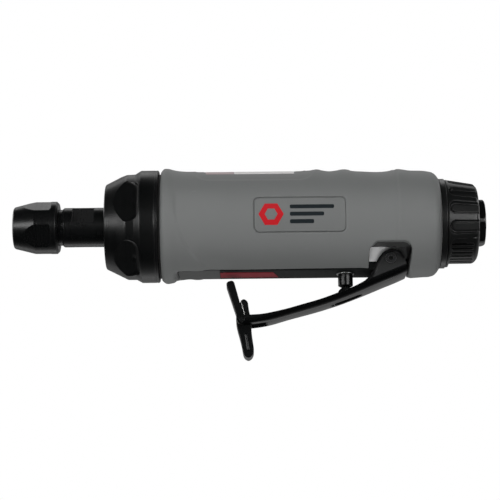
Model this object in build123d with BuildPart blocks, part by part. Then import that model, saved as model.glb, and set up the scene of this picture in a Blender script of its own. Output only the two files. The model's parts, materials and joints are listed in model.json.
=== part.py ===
from build123d import *
import math
import os

os.makedirs("parts", exist_ok=True)

# Straight die grinder: vane motor, lever throttle, rear exhaust.
# Frame: +X runs along the tool axis from the collet mouth (X = 0, the front) to the
# air inlet (the rear), +Z is up and the lever hangs below (-Z). Millimetres.
# Angles about the tool axis are in degrees from +Z towards +Y.

# ---------------------------------------------------------------- dimensions
overall_length = 172.0

# spindle end
shank_r = 3.175          # 1/4 in collet bore
nut_r = 9.6
nut_flat = 8.5           # half of 17 mm across flats
nose_r = 7.23
nose_flat = 5.5          # half of 11 mm across flats
cap_r = 20.6
cap_land_r = 19.45
scallop_r = 17.25        # axis to scallop floor

# motor
motor_bore_r = 15.6
motor_r = 15.5           # endplates and cylinder
cylinder_front, cylinder_rear = 50.7, 94.7
cylinder_mid = (cylinder_front + cylinder_rear) / 2
end_gap = 0.1            # cylinder end to rotor shoulder, and to each endplate
cylinder_bore_r = 12.6
eccentric = 1.75
rotor_r = 10.8
vane_count = 5
vane_half, vane_slot_half = 0.74, 0.8   # half thicknesses
journal_r = 4.0
dowel_r, dowel_hole_r = 1.0, 1.03
dowel_yz = (0, -13.2)

# 8 x 22 x 7 ball bearings
front_bearing_x, rear_bearing_x = 39.5, 99.9
bearing_width = 7.0
bearing_r = 10.98
race_bore_r = journal_r + 0.03
bearing_pitch_r = 7.5
ball_r = 1.98
ball_count = 7

# body
housing_r = 17.6
sleeve_bore_r = 17.65
deck_z = -18.4           # flat underside of the deck rail
deck_half = 7.0
deck_front, deck_rear = 60.3, 145.0
opening_front, opening_rear = 60.0, 145.4   # slot in the sleeve for the deck
badge_length, badge_height = 32.4, 12.5
badge_corner = 1.6
label_front, label_rear, label_half_angle = 70.8, 104.6, 29.0

# throttle
pivot_xz = (137.0, -14.6)
pivot_r = 1.95
stem_x = 120.9
stem_r = 2.7
stem_tip_z = -23.85
bushing_r = 3.2
lock_x, lock_z = 83.0, -36.0
lock_pin_r = 1.0
web_thickness = 1.65
lock_wire_r = 0.19
valve_wire_r = 0.32

# inlet
inlet_thread_r = 6.58    # 1/4 in pipe thread, modelled as a plain wall
inlet_across_flats = 16.0
inlet_hex_x = 168.4


# ---------------------------------------------------------------- helpers
def around(radius, angle):
    """(y, z) of the point at `radius` and `angle` about the tool axis."""
    turned = math.radians(angle)
    return radius * math.sin(turned), radius * math.cos(turned)


def radial_plane(angle):
    """Plane holding the tool axis; its local y points out at `angle`."""
    out_y, out_z = around(1, angle)
    return Plane(origin=(0, 0, 0), x_dir=(1, 0, 0), z_dir=(0, -out_z, out_y))


def tangent_plane(angle, radius, tilt=0.0, x=0.0):
    """Plane square to the radius at `angle`, leaned back by `tilt`; its normal points out."""
    lean = math.radians(tilt)
    out = Vector(0, *around(1, angle))
    along = Vector(1, 0, 0)
    return Plane(
        origin=along * x + out * radius,
        x_dir=along * math.cos(lean) - out * math.sin(lean),
        z_dir=along * math.sin(lean) + out * math.cos(lean),
    )


def outline(points, plane=Plane.XZ):
    """Closed straight-sided face."""
    with BuildSketch(plane) as face:
        with BuildLine():
            Polyline(*points, close=True)
        make_face()
    return face.sketch


def disc(plane, radius, at=(0, 0)):
    with BuildSketch(plane) as face:
        with Locations(at):
            Circle(radius)
    return face.sketch


def ring(x0, x1, inner, outer):
    """(x, radius) profile of a plain ring."""
    return [(x0, inner), (x0, outer), (x1, outer), (x1, inner)]


def turn(profile, mode=Mode.ADD):
    """Revolve an (x, radius) profile about the tool axis."""
    revolve(outline(profile), axis=Axis.X, mode=mode)


def turn_sector(profile, centre, half_angle, mode=Mode.ADD):
    """Revolve an (x, radius) profile through `half_angle` each side of `centre`."""
    revolve(outline(profile, radial_plane(centre + half_angle)),
            axis=Axis.X, revolution_arc=2 * half_angle, mode=mode)


def drill(plane, radius, depth, at=(0, 0)):
    extrude(disc(plane, radius, at), amount=depth, mode=Mode.SUBTRACT)


def drill_across(radius, at, half_width=12):
    """Hole along Y at (x, z), from +half_width to -half_width."""
    drill(Plane.XZ.offset(-half_width), radius, 2 * half_width, at)


def cut_box(x_range, y_range, z_range):
    """Cut a box given by its (low, high) limits."""
    (x0, x1), (y0, y1), (z0, z1) = x_range, y_range, z_range
    with BuildSketch(Plane.XY.offset(z0)) as face:
        with Locations(((x0 + x1) / 2, (y0 + y1) / 2)):
            Rectangle(x1 - x0, y1 - y0)
    extrude(face.sketch, amount=z1 - z0, mode=Mode.SUBTRACT)


def cut_across(points, half_width):
    """Cut an (x, z) outline to `half_width` each side of the middle plane."""
    extrude(outline(points), amount=half_width, both=True, mode=Mode.SUBTRACT)


def radial_slab(angle, centre, size, half_thickness, mode=Mode.ADD):
    """Slab in the radial plane at `angle`; centre and size are (x, radius)."""
    with BuildSketch(radial_plane(angle)) as face:
        with Locations(centre):
            Rectangle(*size)
    extrude(face.sketch, amount=half_thickness, both=True, mode=mode)


def flat_cutter(floor_r, x_centre, length, width, corner, depth, rear_fillet=0):
    """Round-cornered block above the axis, its floor at `floor_r`."""
    with BuildPart() as cutter:
        with BuildSketch(tangent_plane(0, floor_r)):
            with Locations((x_centre, 0)):
                RectangleRounded(length, width, corner)
        extrude(amount=depth)
        if rear_fillet:
            # the rear floor edge and the two corner arcs beside it
            floor_edges = cutter.edges().group_by(Axis.Z)[0]
            fillet(floor_edges.sort_by(Axis.X)[-3:], rear_fillet)
    return cutter.part


def cut_round(cutter, first_angle, count):
    """Cut `count` evenly spaced copies, the first turned `first_angle` about X."""
    for k in range(count):
        add(cutter.rotate(Axis.X, first_angle + 360 / count * k), mode=Mode.SUBTRACT)


def save(builder, name):
    builder.part.label = name
    export_step(builder.part, f"parts/{name}.step")


def save_turned(name, profile):
    """Build and save a piece that is one turned (x, radius) profile."""
    with BuildPart() as piece:
        turn(profile)
    save(piece, name)


# ================================================================ spindle end
# Collet nut: tapered nose, four flats with round rear corners, plain bore.
nut_cutter = flat_cutter(nut_flat, x_centre=2.0, length=24.0, width=10.4, corner=2.6, depth=6)

with BuildPart() as collet_nut:
    turn([
        (0.0, 4.75), (0.0, 7.25), (0.4, 7.67), (7.9, nut_r), (15.7, nut_r),
        (16.4, 8.9), (16.4, 6.75), (4.3, 6.75), (4.3, 6.05), (0.9, 4.75),
    ])
    cut_round(nut_cutter, 123.4, 4)
save(collet_nut, "collet_nut")

# Collet: double taper, split by two crossed saw cuts from the mouth.
with BuildPart() as collet:
    turn([
        (0.0, shank_r), (0.0, 4.2), (3.9, 5.75), (5.2, 5.75), (17.0, 4.2), (17.0, shank_r),
    ])
    for angle in (20, 110):
        radial_slab(angle, (6.0, 0), (14.0, 14.0), 0.35, Mode.SUBTRACT)
save(collet, "collet")

# Spindle nose: collet taper in front, bore over the rotor journal behind, two flats.
nose_cutter = flat_cutter(nose_flat, x_centre=25.45, length=7.9, width=11.0, corner=1.8, depth=5)

with BuildPart() as spindle_nose:
    turn([
        (5.4, 5.82), (5.4, 6.3), (5.9, 6.6), (17.9, 6.6), (18.0, 6.9), (18.5, nose_r),
        (38.4, nose_r), (39.3, 6.2), (39.3, 4.03), (26.4, 4.03), (26.4, 3.5),
        (17.3, 3.5), (17.3, 4.25),
    ])
    cut_round(nose_cutter, 49, 2)
save(spindle_nose, "spindle_nose")

# Front cap: coned nose, five flat scallops, plain collar round the motor stack.
scallop_cutter = flat_cutter(scallop_r, x_centre=36.2, length=20.4, width=19.0, corner=4.6,
                             depth=8, rear_fillet=1.6)

with BuildPart() as front_cap:
    turn([
        (33.8, 8.0), (33.8, 15.3), (34.0, 15.6), (41.3, 19.25), (41.9, cap_land_r),
        (44.8, cap_land_r), (46.4, 20.35), (46.9, cap_r), (51.9, cap_r), (52.1, 20.45),
        (52.3, cap_r), (52.9, cap_r), (53.2, 20.3), (53.2, 17.2), (44.0, 17.2), (44.0, 14.2),
        (38.5, 14.2), (38.5, 11.0), (36.4, 11.0), (36.4, 8.0),
    ])
    cut_round(scallop_cutter, 71.6, 5)
save(front_cap, "front_cap")

save_turned("front_seal", ring(36.5, 38.3, 7.32, 10.9))

# ================================================================ vane motor
# Rotor: body between two journals, one radial slot for each vane.
rotor_front, rotor_rear = cylinder_front + end_gap, cylinder_rear - end_gap
vane_pitch = 360 / vane_count

with BuildPart() as rotor:
    turn([
        (27.2, 0), (27.2, 3.6), (27.6, journal_r), (rotor_front, journal_r),
        (rotor_front, rotor_r), (rotor_rear, rotor_r), (rotor_rear, journal_r),
        (106.0, journal_r), (106.4, 3.6), (106.4, 0),
    ])
    for k in range(vane_count):
        radial_slab(vane_pitch * k, (cylinder_mid, 8.7), (60.0, 6.2), vane_slot_half,
                    Mode.SUBTRACT)
save(rotor, "rotor")

with BuildPart() as vanes:
    for k in range(vane_count):
        radial_slab(vane_pitch * k, (cylinder_mid, 8.25), (43.4, 4.9), vane_half)
save(vanes, "vanes")

# Cylinder: bore offset towards +Y, dowel hole below, a row of ports on the +Y side.
with BuildPart() as cylinder:
    with BuildSketch(Plane.YZ.offset(cylinder_front)):
        Circle(motor_r)
        with Locations((0, eccentric)):
            Circle(cylinder_bore_r, mode=Mode.SUBTRACT)
        with Locations(dowel_yz):
            Circle(dowel_hole_r, mode=Mode.SUBTRACT)
    extrude(amount=cylinder_rear - cylinder_front)
    for k in range(6):
        drill(Plane.XZ.offset(-17), 1.4, 8, at=(58 + 5.6 * k, 0))
save(cylinder, "cylinder")

# Dowel between the front endplate and the cylinder.
with BuildPart() as cylinder_pin:
    extrude(disc(Plane.YZ.offset(47.6), dowel_r, dowel_yz), amount=6.0)
    chamfer(cylinder_pin.edges().filter_by(GeomType.CIRCLE), 0.2)
save(cylinder_pin, "cylinder_pin")

front_plate_face = cylinder_front - end_gap
with BuildPart() as front_endplate:
    turn([
        (39.3, 12.6), (44.1, 12.6), (44.1, motor_r), (front_plate_face, motor_r),
        (front_plate_face, 4.6), (46.6, 4.6), (46.6, 11.0), (39.3, 11.0),
    ])
    drill(Plane.YZ.offset(47.4), dowel_hole_r, 4, at=dowel_yz)
save(front_endplate, "front_endplate")

# Rear endplate: three small holes at the top, a notch in the rear rim.
rear_plate_face = cylinder_rear + end_gap
with BuildPart() as rear_endplate:
    turn([
        (rear_plate_face, 4.6), (rear_plate_face, motor_r), (99.6, motor_r), (99.6, 12.8),
        (107.2, 12.8), (107.2, 11.0), (99.7, 11.0), (99.7, 4.6),
    ])
    for angle in (-20, 0, 20):
        drill(Plane.YZ.offset(94), 0.85, 7, at=around(13.75, angle))
    cut_box((105.8, 108), (-3, 3), (10, 14))
save(rear_endplate, "rear_endplate")


def save_bearing(end, x_front):
    """Ball bearing in four pieces: grooved races, ring of balls, pocketed cage."""
    x_rear = x_front + bearing_width
    x_mid = x_front + bearing_width / 2
    ball_angles = [90 - 360 * k / ball_count for k in range(ball_count)]
    with BuildPart() as groove:
        with BuildSketch(Plane.XZ):
            with Locations((x_mid, bearing_pitch_r)):
                Circle(ball_r + 0.06)
        revolve(axis=Axis.X)

    with BuildPart() as outer_race:
        turn(ring(x_front, x_rear, 9.1, bearing_r))
        add(groove.part, mode=Mode.SUBTRACT)
        rim = outer_race.faces().filter_by(GeomType.CYLINDER).sort_by(SortBy.AREA)[-1]
        chamfer(rim.edges().filter_by(GeomType.CIRCLE), 0.3)
    save(outer_race, f"{end}_bearing_outer")

    with BuildPart() as inner_race:
        turn(ring(x_front, x_rear, race_bore_r, 5.9))
        add(groove.part, mode=Mode.SUBTRACT)
    save(inner_race, f"{end}_bearing_inner")

    with BuildPart() as balls:
        with Locations(*[(x_mid, *around(bearing_pitch_r, angle)) for angle in ball_angles]):
            Sphere(ball_r)
    save(balls, f"{end}_bearing_balls")

    with BuildPart() as cage:
        turn(ring(x_mid - 2.6, x_mid + 2.6, 6.9, 8.1))
        for angle in ball_angles:
            drill(tangent_plane(angle, 5.0), ball_r + 0.08, 5, at=(x_mid, 0))
    save(cage, f"{end}_bearing_cage")


save_bearing("front", front_bearing_x)
save_bearing("rear", rear_bearing_x)

# Wave washer behind the rear bearing, modelled flat.
with BuildPart() as wave_washer:
    with BuildSketch(Plane.YZ.offset(106.95)):
        Circle(10.8)
        Circle(8.6, mode=Mode.SUBTRACT)
    extrude(amount=0.22)
save(wave_washer, "wave_washer")

# ================================================================ body
# Motor housing: thin tube over the motor, solid valve block behind it, flat deck
# below, a pivot lug between two side pockets, drilled air and exhaust ways.
with BuildPart() as motor_housing:
    turn([
        (44.4, motor_bore_r), (44.4, 16.9), (44.7, 17.1), (53.4, 17.1), (53.4, housing_r),
        (154.0, housing_r), (154.0, 15.1), (157.3, 15.1), (157.3, 14.3), (153.6, 14.3),
        (153.6, 9.8), (153.0, 9.8), (153.0, 8.45), (145.9, 8.45), (145.9, 6.6),
        (134.45, 6.6), (134.45, 6.22), (131.0, 6.22), (131.0, 5.6), (110.0, 5.6),
        (110.0, 12.2), (107.3, 12.2), (107.3, motor_bore_r),
    ])
    # deck rail under the tube
    with BuildPart(mode=Mode.PRIVATE) as rail:
        with BuildSketch(Plane.XY.offset(deck_z)):
            with Locations(((deck_front + deck_rear) / 2, 0)):
                RectangleRounded(deck_rear - deck_front, 2 * deck_half, 1.7)
        extrude(amount=-15.9 - deck_z)
    add(rail.part)
    # clear the rail out of the motor bore
    drill(Plane.YZ.offset(44), motor_bore_r, 63.3)
    # side pockets for the lever ears
    for y_range in ((-22, -7.25), (7.25, 22)):
        cut_box((128.6, 144.4), y_range, (-26, -10.2))
    # room behind the lug for the end of the lever
    cut_across([
        (139.4, -22), (139.4, deck_z), (142.8, -14.2), (142.8, -10.2), (145.2, -10.2),
        (145.2, -22),
    ], 22)
    # pivot hole, stem bore, port into the air way
    drill_across(pivot_r + 0.05, pivot_xz)
    drill(Plane.XY.offset(-26), bushing_r + 0.02, 19.0, at=(stem_x, 0))
    drill(Plane.XY.offset(-8), 1.7, 6, at=(stem_x, 0))
    # exhaust: groove beside the cylinder ports, then three holes to the rear chamber
    cut_box((54, 108.5), (14, 16.75), (-3, 3))
    for y, z in ((12.4, 4.6), (13.1, 0), (12.4, -4.6)):
        drill(Plane.YZ.offset(106), 1.5, 49, at=(y, z))
save(motor_housing, "motor_housing")

# Grip sleeve: soft-edged shell, open along the deck and round the lever ears.
badge_plane = Plane(origin=(104.2, 0, -0.6), x_dir=(1, 0, 0), z_dir=(0, -1, 0))

# outer surface as (x, radius), front to rear
sleeve_curve = [
    (53.8, 19.9), (54.7, 20.8), (56.6, 21.0), (60.2, 20.25), (64.0, 19.95), (68.0, 20.1),
    (74.0, 19.85), (82.0, 19.45), (101.0, 19.5), (107.0, 19.95), (111.0, 19.95),
    (116.0, 19.6), (121.0, 19.8), (127.0, 19.45), (135.5, 19.45), (138.6, 19.9),
    (145.0, 19.56), (151.0, 19.25), (153.6, 18.8), (155.2, 16.9),
]
sleeve_front_bore = (sleeve_curve[0][0], sleeve_bore_r)

with BuildPart() as grip_sleeve:
    with BuildSketch(Plane.XZ):
        with BuildLine():
            Line(sleeve_front_bore, sleeve_curve[0])
            Spline(*sleeve_curve)
            Polyline(sleeve_curve[-1], (155.2, 15.2), (154.1, 15.2), (154.1, sleeve_bore_r),
                     sleeve_front_bore)
        make_face()
    revolve(axis=Axis.X)
    # round-cornered opening along the deck
    with BuildSketch(Plane.XY.offset(-24)):
        with Locations(((opening_front + opening_rear) / 2, 0)):
            RectangleRounded(opening_rear - opening_front, 2 * deck_half + 0.1, 1.6)
    extrude(amount=12, mode=Mode.SUBTRACT)
    # lever ear openings, upper corners bevelled
    cut_across([
        (129.9, -24), (129.9, -13.4), (132.6, -10.2), (142.2, -10.2), (143.6, -11.4),
        (144.0, -16.0), (144.0, -24),
    ], 24)
    # flat along the underside either side of the deck
    cut_box((59.0, 129.9), (-12, 12), (-24, deck_z))
    # badge seat
    with BuildPart(mode=Mode.PRIVATE) as badge_seat:
        with BuildSketch(badge_plane):
            RectangleRounded(badge_length + 0.1, badge_height + 0.1, badge_corner + 0.05)
        extrude(amount=26)
        with BuildSketch(Plane.YZ.offset(80)):
            Circle(18.9)
        extrude(amount=50, mode=Mode.SUBTRACT)
    add(badge_seat.part, mode=Mode.SUBTRACT)
    # wrap label seat on top
    turn_sector(ring(label_front - 0.1, label_rear + 0.1, 19.25, 23),
                0, label_half_angle + 0.3, Mode.SUBTRACT)
save(grip_sleeve, "grip_sleeve")

# Badge on the -Y side, curved to the sleeve.
with BuildPart() as side_badge:
    with BuildSketch(badge_plane):
        RectangleRounded(badge_length, badge_height, badge_corner)
    extrude(amount=26)
    with BuildSketch(Plane.YZ.offset(80)):
        Circle(19.6)
        Circle(18.93, mode=Mode.SUBTRACT)
    extrude(amount=50, mode=Mode.INTERSECT)
save(side_badge, "side_badge")

with BuildPart() as top_label:
    turn_sector(ring(label_front, label_rear, 19.28, 19.42), 0, label_half_angle)
save(top_label, "top_label")

# Label just under the deck, rear end slanted.
with BuildPart() as bottom_label:
    label_points = [(75.4, -4.2), (94.6, -4.2), (96.6, 4.2), (75.4, 4.2)]
    extrude(outline(label_points, Plane.XY.offset(deck_z - 0.14)), amount=0.12)
save(bottom_label, "bottom_label")

# ================================================================ throttle
# Underside of the lever web as (x, z), tip to ear.
web_curve = [
    (82.3, -37.65), (86.2, -37.35), (91.75, -36.5), (100.9, -33.95), (111.9, -30.95),
    (119.3, -28.6), (126.6, -25.9), (134.0, -22.9), (141.3, -20.0), (143.0, -19.2),
]


def clip_to_plan(tip_half, fork_half, ear_half, depth):
    """Keep what lies in the lever's tapered plan, from z = -depth up to 0."""
    side = [(69, tip_half), (81, fork_half), (128, ear_half), (151, ear_half)]
    points = [(x, -y) for x, y in side] + side[::-1]
    extrude(outline(points, Plane.XY.offset(-depth)), amount=depth, mode=Mode.INTERSECT)


# Hollow of the channel, above the web and between the flanges.
with BuildPart() as channel_void:
    with BuildSketch(Plane.XZ):
        with BuildLine():
            inner = Spline(*[(x, z + web_thickness) for x, z in web_curve])
            Polyline(inner @ 1, (150.0, -16.0), (150.0, -4.0), (70.0, -4.0), (70.0, -35.6),
                     inner @ 0)
        make_face()
    extrude(amount=9, both=True)
    clip_to_plan(4.6, 5.15, 7.45, depth=40)

# Lever: pressed channel, web below, flanges rising into two ears at the pivot and
# a fork at the tip; a bridge in the web meets the valve stem.
with BuildPart() as throttle_lever:
    with BuildSketch(Plane.XZ):
        with BuildLine():
            under = Spline(*web_curve)
            ear_back = Polyline(under @ 1, (142.65, -17.6), (142.0, -14.6))
            ear_top = Spline(ear_back @ 1, (140.5, -12.4), (137.6, -11.25), (134.5, -12.5),
                             (131.9, -15.8), (130.4, -19.4))
            flange = Spline(ear_top @ 1, (128.6, -21.9), (125.0, -24.1), (119.2, -26.4),
                            (111.9, -29.0), (104.5, -31.05), (97.2, -32.95), (90.0, -34.3),
                            (86.0, -34.5))
            ThreePointArc(flange @ 1, (81.35, -35.3), under @ 0)
        make_face()
    extrude(amount=9.05, both=True)
    clip_to_plan(6.2, 6.75, 9.0, depth=45)
    # guards the rounding of the long lower edges: if the fillet fails they stay sharp
    try:
        long_edges = [
            edge for edge in throttle_lever.edges()
            if edge.length > 50 and (edge @ 0.5).Z < -30.0 and abs((edge @ 0.5).Y) > 6
        ]
        fillet(long_edges, 2.4)
    except Exception:
        pass
    add(channel_void.part, mode=Mode.SUBTRACT)
    # bridge under the stem
    with BuildSketch(Plane.XZ):
        with BuildLine():
            Polyline((123.9, -26.04), (123.9, -26.6), (117.9, -28.6), (117.9, -26.04))
            ThreePointArc((117.9, -26.04), (stem_x, -23.95), (123.9, -26.04))
        make_face()
    extrude(amount=3.5, both=True)
    # slot in the web below the bridge
    with BuildSketch(Plane.XY.offset(-34)):
        with Locations((121.0, 0)):
            SlotOverall(12.4, 5.4)
    extrude(amount=8.5, mode=Mode.SUBTRACT)
    # open web at the tip for the safety lock
    cut_box((70, 92.4), (-4.15, 4.15), (-42, -30))
    cut_box((70, 86.6), (-5.16, 5.16), (-42, -30))
    # pivot and lock pin holes
    drill_across(pivot_r + 0.02, pivot_xz)
    drill_across(lock_pin_r + 0.02, (lock_x, lock_z))
save(throttle_lever, "throttle_lever")

# Lever pin: hollow, across both ears.
lever_pin_half = 9.15
with BuildPart() as lever_pin:
    with BuildSketch(Plane.XZ.offset(-lever_pin_half)):
        with Locations(pivot_xz):
            Circle(pivot_r)
            Circle(0.86, mode=Mode.SUBTRACT)
    extrude(amount=2 * lever_pin_half)
save(lever_pin, "lever_pin")

lock_pin_half = 6.7
with BuildPart() as lock_pin:
    extrude(disc(Plane.XZ.offset(-lock_pin_half), lock_pin_r, (lock_x, lock_z)),
            amount=2 * lock_pin_half)
save(lock_pin, "lock_pin")

# Safety lock: strut above the pin, two short cheeks, finger tab below.
strut_lean = math.radians(16.4)
strut_length = 15.2
lock_half_width = 3.6


def lock_point(along, across):
    """(x, z) of a point measured along and across the strut from the lock pin."""
    sin_lean, cos_lean = math.sin(strut_lean), math.cos(strut_lean)
    return (lock_x - along * sin_lean + across * cos_lean,
            lock_z + along * cos_lean + across * sin_lean)


with BuildPart() as safety_lock:
    with BuildSketch(Plane.XZ) as strut:
        with BuildLine():
            Polyline(lock_point(2.5, -1.2), lock_point(strut_length, -1.5),
                     lock_point(strut_length, 1.5), lock_point(2.5, 1.2), close=True)
        make_face()
        fillet(strut.vertices().sort_by(Axis.Y)[-2:], 1.15)
    extrude(amount=lock_half_width, both=True)
    # cheeks and tab, as one closed curve
    with BuildSketch(Plane.XZ):
        with BuildLine():
            Spline((81.25, -33.2), (81.0, -36.4), (82.0, -41.0), (83.2, -46.5), (84.0, -48.9),
                   (85.3, -49.6), (86.7, -48.7), (87.1, -45.0), (86.5, -40.0), (86.3, -35.6),
                   (85.5, -31.2), (84.7, -28.6), (83.6, -28.2), (82.6, -29.2), (81.25, -33.2))
        make_face()
    extrude(amount=lock_half_width, both=True)
    # hollow between the cheeks, open to the rear
    cut_across([
        lock_point(9.2, 1.5), (84.0, -33.3), (83.2, -37.4), (84.6, -41.5), (85.6, -46.8),
        (91, -46.8), (91, -26),
    ], 2.2)
    drill_across(lock_pin_r + 0.06, (lock_x, lock_z), half_width=6)
save(safety_lock, "safety_lock")

# Lock spring: torsion coil round the lock pin with a straight leg off each end.
with BuildPart() as lock_spring:
    with BuildLine() as coil:
        Helix(pitch=0.44, height=0.79, radius=1.5, center=(lock_x, -4.84, lock_z),
              direction=(0, 1, 0), lefthand=True)
    with BuildLine() as start_leg:
        Line(coil.line @ 0, (coil.line @ 0) - (coil.line % 0) * 6.0)
    with BuildLine() as end_leg:
        Line(coil.line @ 1, (coil.line @ 1) + (coil.line % 1) * 8.2)
    for path in (coil.line, start_leg.line, end_leg.line):
        with BuildSketch(Plane(origin=path @ 0, z_dir=path % 0)):
            Circle(lock_wire_r)
        sweep(path=path)
save(lock_spring, "lock_spring")

# Valve stem and its bushing; stem profile points are (radius, z).
stem_plane = Plane(origin=(stem_x, 0, 0), x_dir=(1, 0, 0), z_dir=(0, -1, 0))
stem_axis = Axis((stem_x, 0, 0), (0, 0, 1))
groove_top, groove_bottom = -12.4, -13.5

with BuildPart() as valve_stem:
    stem_profile = [
        (0, stem_tip_z), (0, -1.28), (0.9, -1.5), (1.45, -2.1), (1.45, -9.3), (stem_r, -9.3),
        (stem_r, groove_top), (2.05, groove_top), (2.05, groove_bottom),
        (stem_r, groove_bottom), (stem_r, -22.9), (2.35, -23.14), (1.8, -23.44),
        (1.2, -23.67), (0.6, -23.8),
    ]
    revolve(outline(stem_profile, stem_plane), axis=stem_axis)
save(valve_stem, "valve_stem")

with BuildPart() as stem_oring:
    with BuildSketch(stem_plane):
        with Locations((2.4, (groove_top + groove_bottom) / 2)):
            Circle(0.33)
    revolve(axis=stem_axis)
save(stem_oring, "stem_oring")

with BuildPart() as stem_bushing:
    with BuildSketch(Plane.XY.offset(-18.8)):
        with Locations((stem_x, 0)):
            Circle(bushing_r)
            Circle(stem_r + 0.05, mode=Mode.SUBTRACT)
    extrude(amount=9.2)
    chamfer(stem_bushing.edges().group_by(Axis.Z)[0], 0.15)
save(stem_bushing, "stem_bushing")

# Tilt valve, its seat and the spring that closes it.
save_turned("tilt_valve", [
    (118.4, 0), (118.7, 0.8), (119.5, 1.2), (134.5, 1.2), (134.5, 5.0), (136.2, 5.0),
    (136.5, 4.7), (136.5, 2.8), (138.0, 2.6), (138.0, 0),
])
save_turned("valve_seat", ring(131.05, 134.42, 3.7, 6.2))

with BuildPart() as valve_spring:
    with BuildLine() as coil:
        Helix(pitch=1.9, height=8.6, radius=3.95, center=(145.55, 0, 0), direction=(-1, 0, 0))
    with BuildSketch(Plane(origin=coil.line @ 0, z_dir=coil.line % 0)):
        Circle(valve_wire_r)
    sweep(path=coil.line)
save(valve_spring, "valve_spring")

# ================================================================ inlet and exhaust
# Inlet bushing: o-ring groove, threaded bore, hexagonal rear end.
with BuildPart() as inlet_bushing:
    turn([
        (146.0, 3.5), (146.0, 8.1), (146.3, 8.4), (150.2, 8.4), (150.2, 7.2), (151.8, 7.2),
        (151.8, 8.4), (153.1, 8.4), (153.1, 9.5), (166.9, 9.5), (166.9, 10.6),
        (inlet_hex_x, 10.6), (inlet_hex_x, 9.24), (overall_length, 9.24),
        (overall_length, 6.95), (171.6, inlet_thread_r), (161.8, inlet_thread_r),
        (161.8, 5.8), (147.4, 5.8), (147.4, 3.5),
    ])
    with BuildPart(mode=Mode.PRIVATE) as hex_trim:
        with BuildSketch(Plane.YZ.offset(inlet_hex_x)):
            Circle(14)
            RegularPolygon(inlet_across_flats / 2, 6, major_radius=False, rotation=5.6,
                           mode=Mode.SUBTRACT)
        extrude(amount=6)
    add(hex_trim.part, mode=Mode.SUBTRACT)
    # bevel the rear corners of the hexagon
    turn([(170.9, 9.6), (172.5, 9.6), (172.5, 8.2), (172.0, 8.2)], Mode.SUBTRACT)
save(inlet_bushing, "inlet_bushing")

# Inlet screen: shallow cup, a centre hole and two rings of holes.
screen_hole_r = 0.5
with BuildPart() as inlet_screen:
    turn([(157.6, 0), (157.6, 5.72), (160.6, 5.72), (160.6, 5.2), (158.3, 5.2), (158.3, 0)])
    with BuildSketch(Plane.YZ.offset(157)):
        Circle(screen_hole_r)
        for ring_r, hole_count in ((1.9, 6), (3.8, 12)):
            with PolarLocations(ring_r, hole_count):
                Circle(screen_hole_r)
    extrude(amount=3, mode=Mode.SUBTRACT)
save(inlet_screen, "inlet_screen")

with BuildPart() as inlet_oring:
    with BuildSketch(Plane.XZ):
        with Locations((151.0, 7.83)):
            Circle(0.58)
    revolve(axis=Axis.X)
save(inlet_oring, "inlet_oring")

save_turned("deflector_collar", [
    (155.35, 15.15), (155.35, 16.3), (155.5, 16.45), (157.2, 16.45), (157.4, 16.2),
    (157.4, 15.15),
])

# Exhaust deflector: ring with U-ended flutes and a slotted outlet sector below.
with BuildPart() as flute_cutter:
    with BuildSketch(tangent_plane(0, 14.75, tilt=7.0, x=159.0)):
        with Locations((7.0, 0)):
            SlotOverall(14.0, 4.3)
    extrude(amount=4)

with BuildPart() as exhaust_deflector:
    turn([
        (157.6, 12.8), (157.6, 15.9), (157.8, 16.05), (159.0, 15.85), (167.4, 14.45),
        (168.5, 13.3), (168.5, 10.75), (166.75, 10.75), (166.75, 9.57), (165.0, 9.57),
        (165.0, 12.8),
    ])
    # recess the outlet sector
    turn_sector([(159.2, 14.75), (159.2, 18), (169, 18), (169, 13.9), (166.8, 14.25)],
                180, 56, Mode.SUBTRACT)
    for k in range(-4, 5):
        add(flute_cutter.part.rotate(Axis.X, 27 * k), mode=Mode.SUBTRACT)
    for k in range(-6, 7):
        with BuildSketch(tangent_plane(180 + 7.6 * k, 12.0)):
            with Locations((162.9, 0)):
                SlotOverall(6.4, 0.95)
        extrude(amount=4, mode=Mode.SUBTRACT)
save(exhaust_deflector, "exhaust_deflector")

save_turned("exhaust_felt", ring(158.0, 164.6, 9.75, 12.6))
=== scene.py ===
"""Air tool with a moulded grip sleeve, a throttle lever and an exhaust deflector.

The tool's axis is X. Its front is at low x, and the air inlet is at the rear, beyond x = 165 mm.
+Z is the top, the lever hangs below, and the camera stands on the -Y side, a little below.
Outlines and sizes of pieces are in millimetres. Shaders, lights and the camera are in metres.
Angles round the axis start at the top and turn towards +Y.
"""
import bpy, bmesh, math, json
import numpy as np
from mathutils import Vector, Matrix


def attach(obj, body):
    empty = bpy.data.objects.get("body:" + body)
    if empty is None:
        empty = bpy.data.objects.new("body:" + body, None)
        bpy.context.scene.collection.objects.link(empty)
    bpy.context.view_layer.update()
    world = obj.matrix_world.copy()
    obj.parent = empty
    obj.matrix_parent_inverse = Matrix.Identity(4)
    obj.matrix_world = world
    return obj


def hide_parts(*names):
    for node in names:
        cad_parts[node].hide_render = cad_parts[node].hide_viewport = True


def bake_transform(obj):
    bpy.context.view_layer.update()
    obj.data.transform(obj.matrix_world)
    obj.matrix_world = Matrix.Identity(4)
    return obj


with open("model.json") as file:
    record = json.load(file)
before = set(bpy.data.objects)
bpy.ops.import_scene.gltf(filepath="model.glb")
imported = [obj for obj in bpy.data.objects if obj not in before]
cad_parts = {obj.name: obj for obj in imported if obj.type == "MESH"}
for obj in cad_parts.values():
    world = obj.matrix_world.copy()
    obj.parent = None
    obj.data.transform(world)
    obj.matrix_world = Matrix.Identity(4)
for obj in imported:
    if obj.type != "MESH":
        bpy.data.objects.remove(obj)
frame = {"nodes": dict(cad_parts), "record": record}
nodes, record = frame["nodes"], frame["record"]
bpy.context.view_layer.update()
MM = 0.001
FAR = 9.0  # a distance that counts as well outside any outline
data = bpy.data
scene = bpy.context.scene
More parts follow.
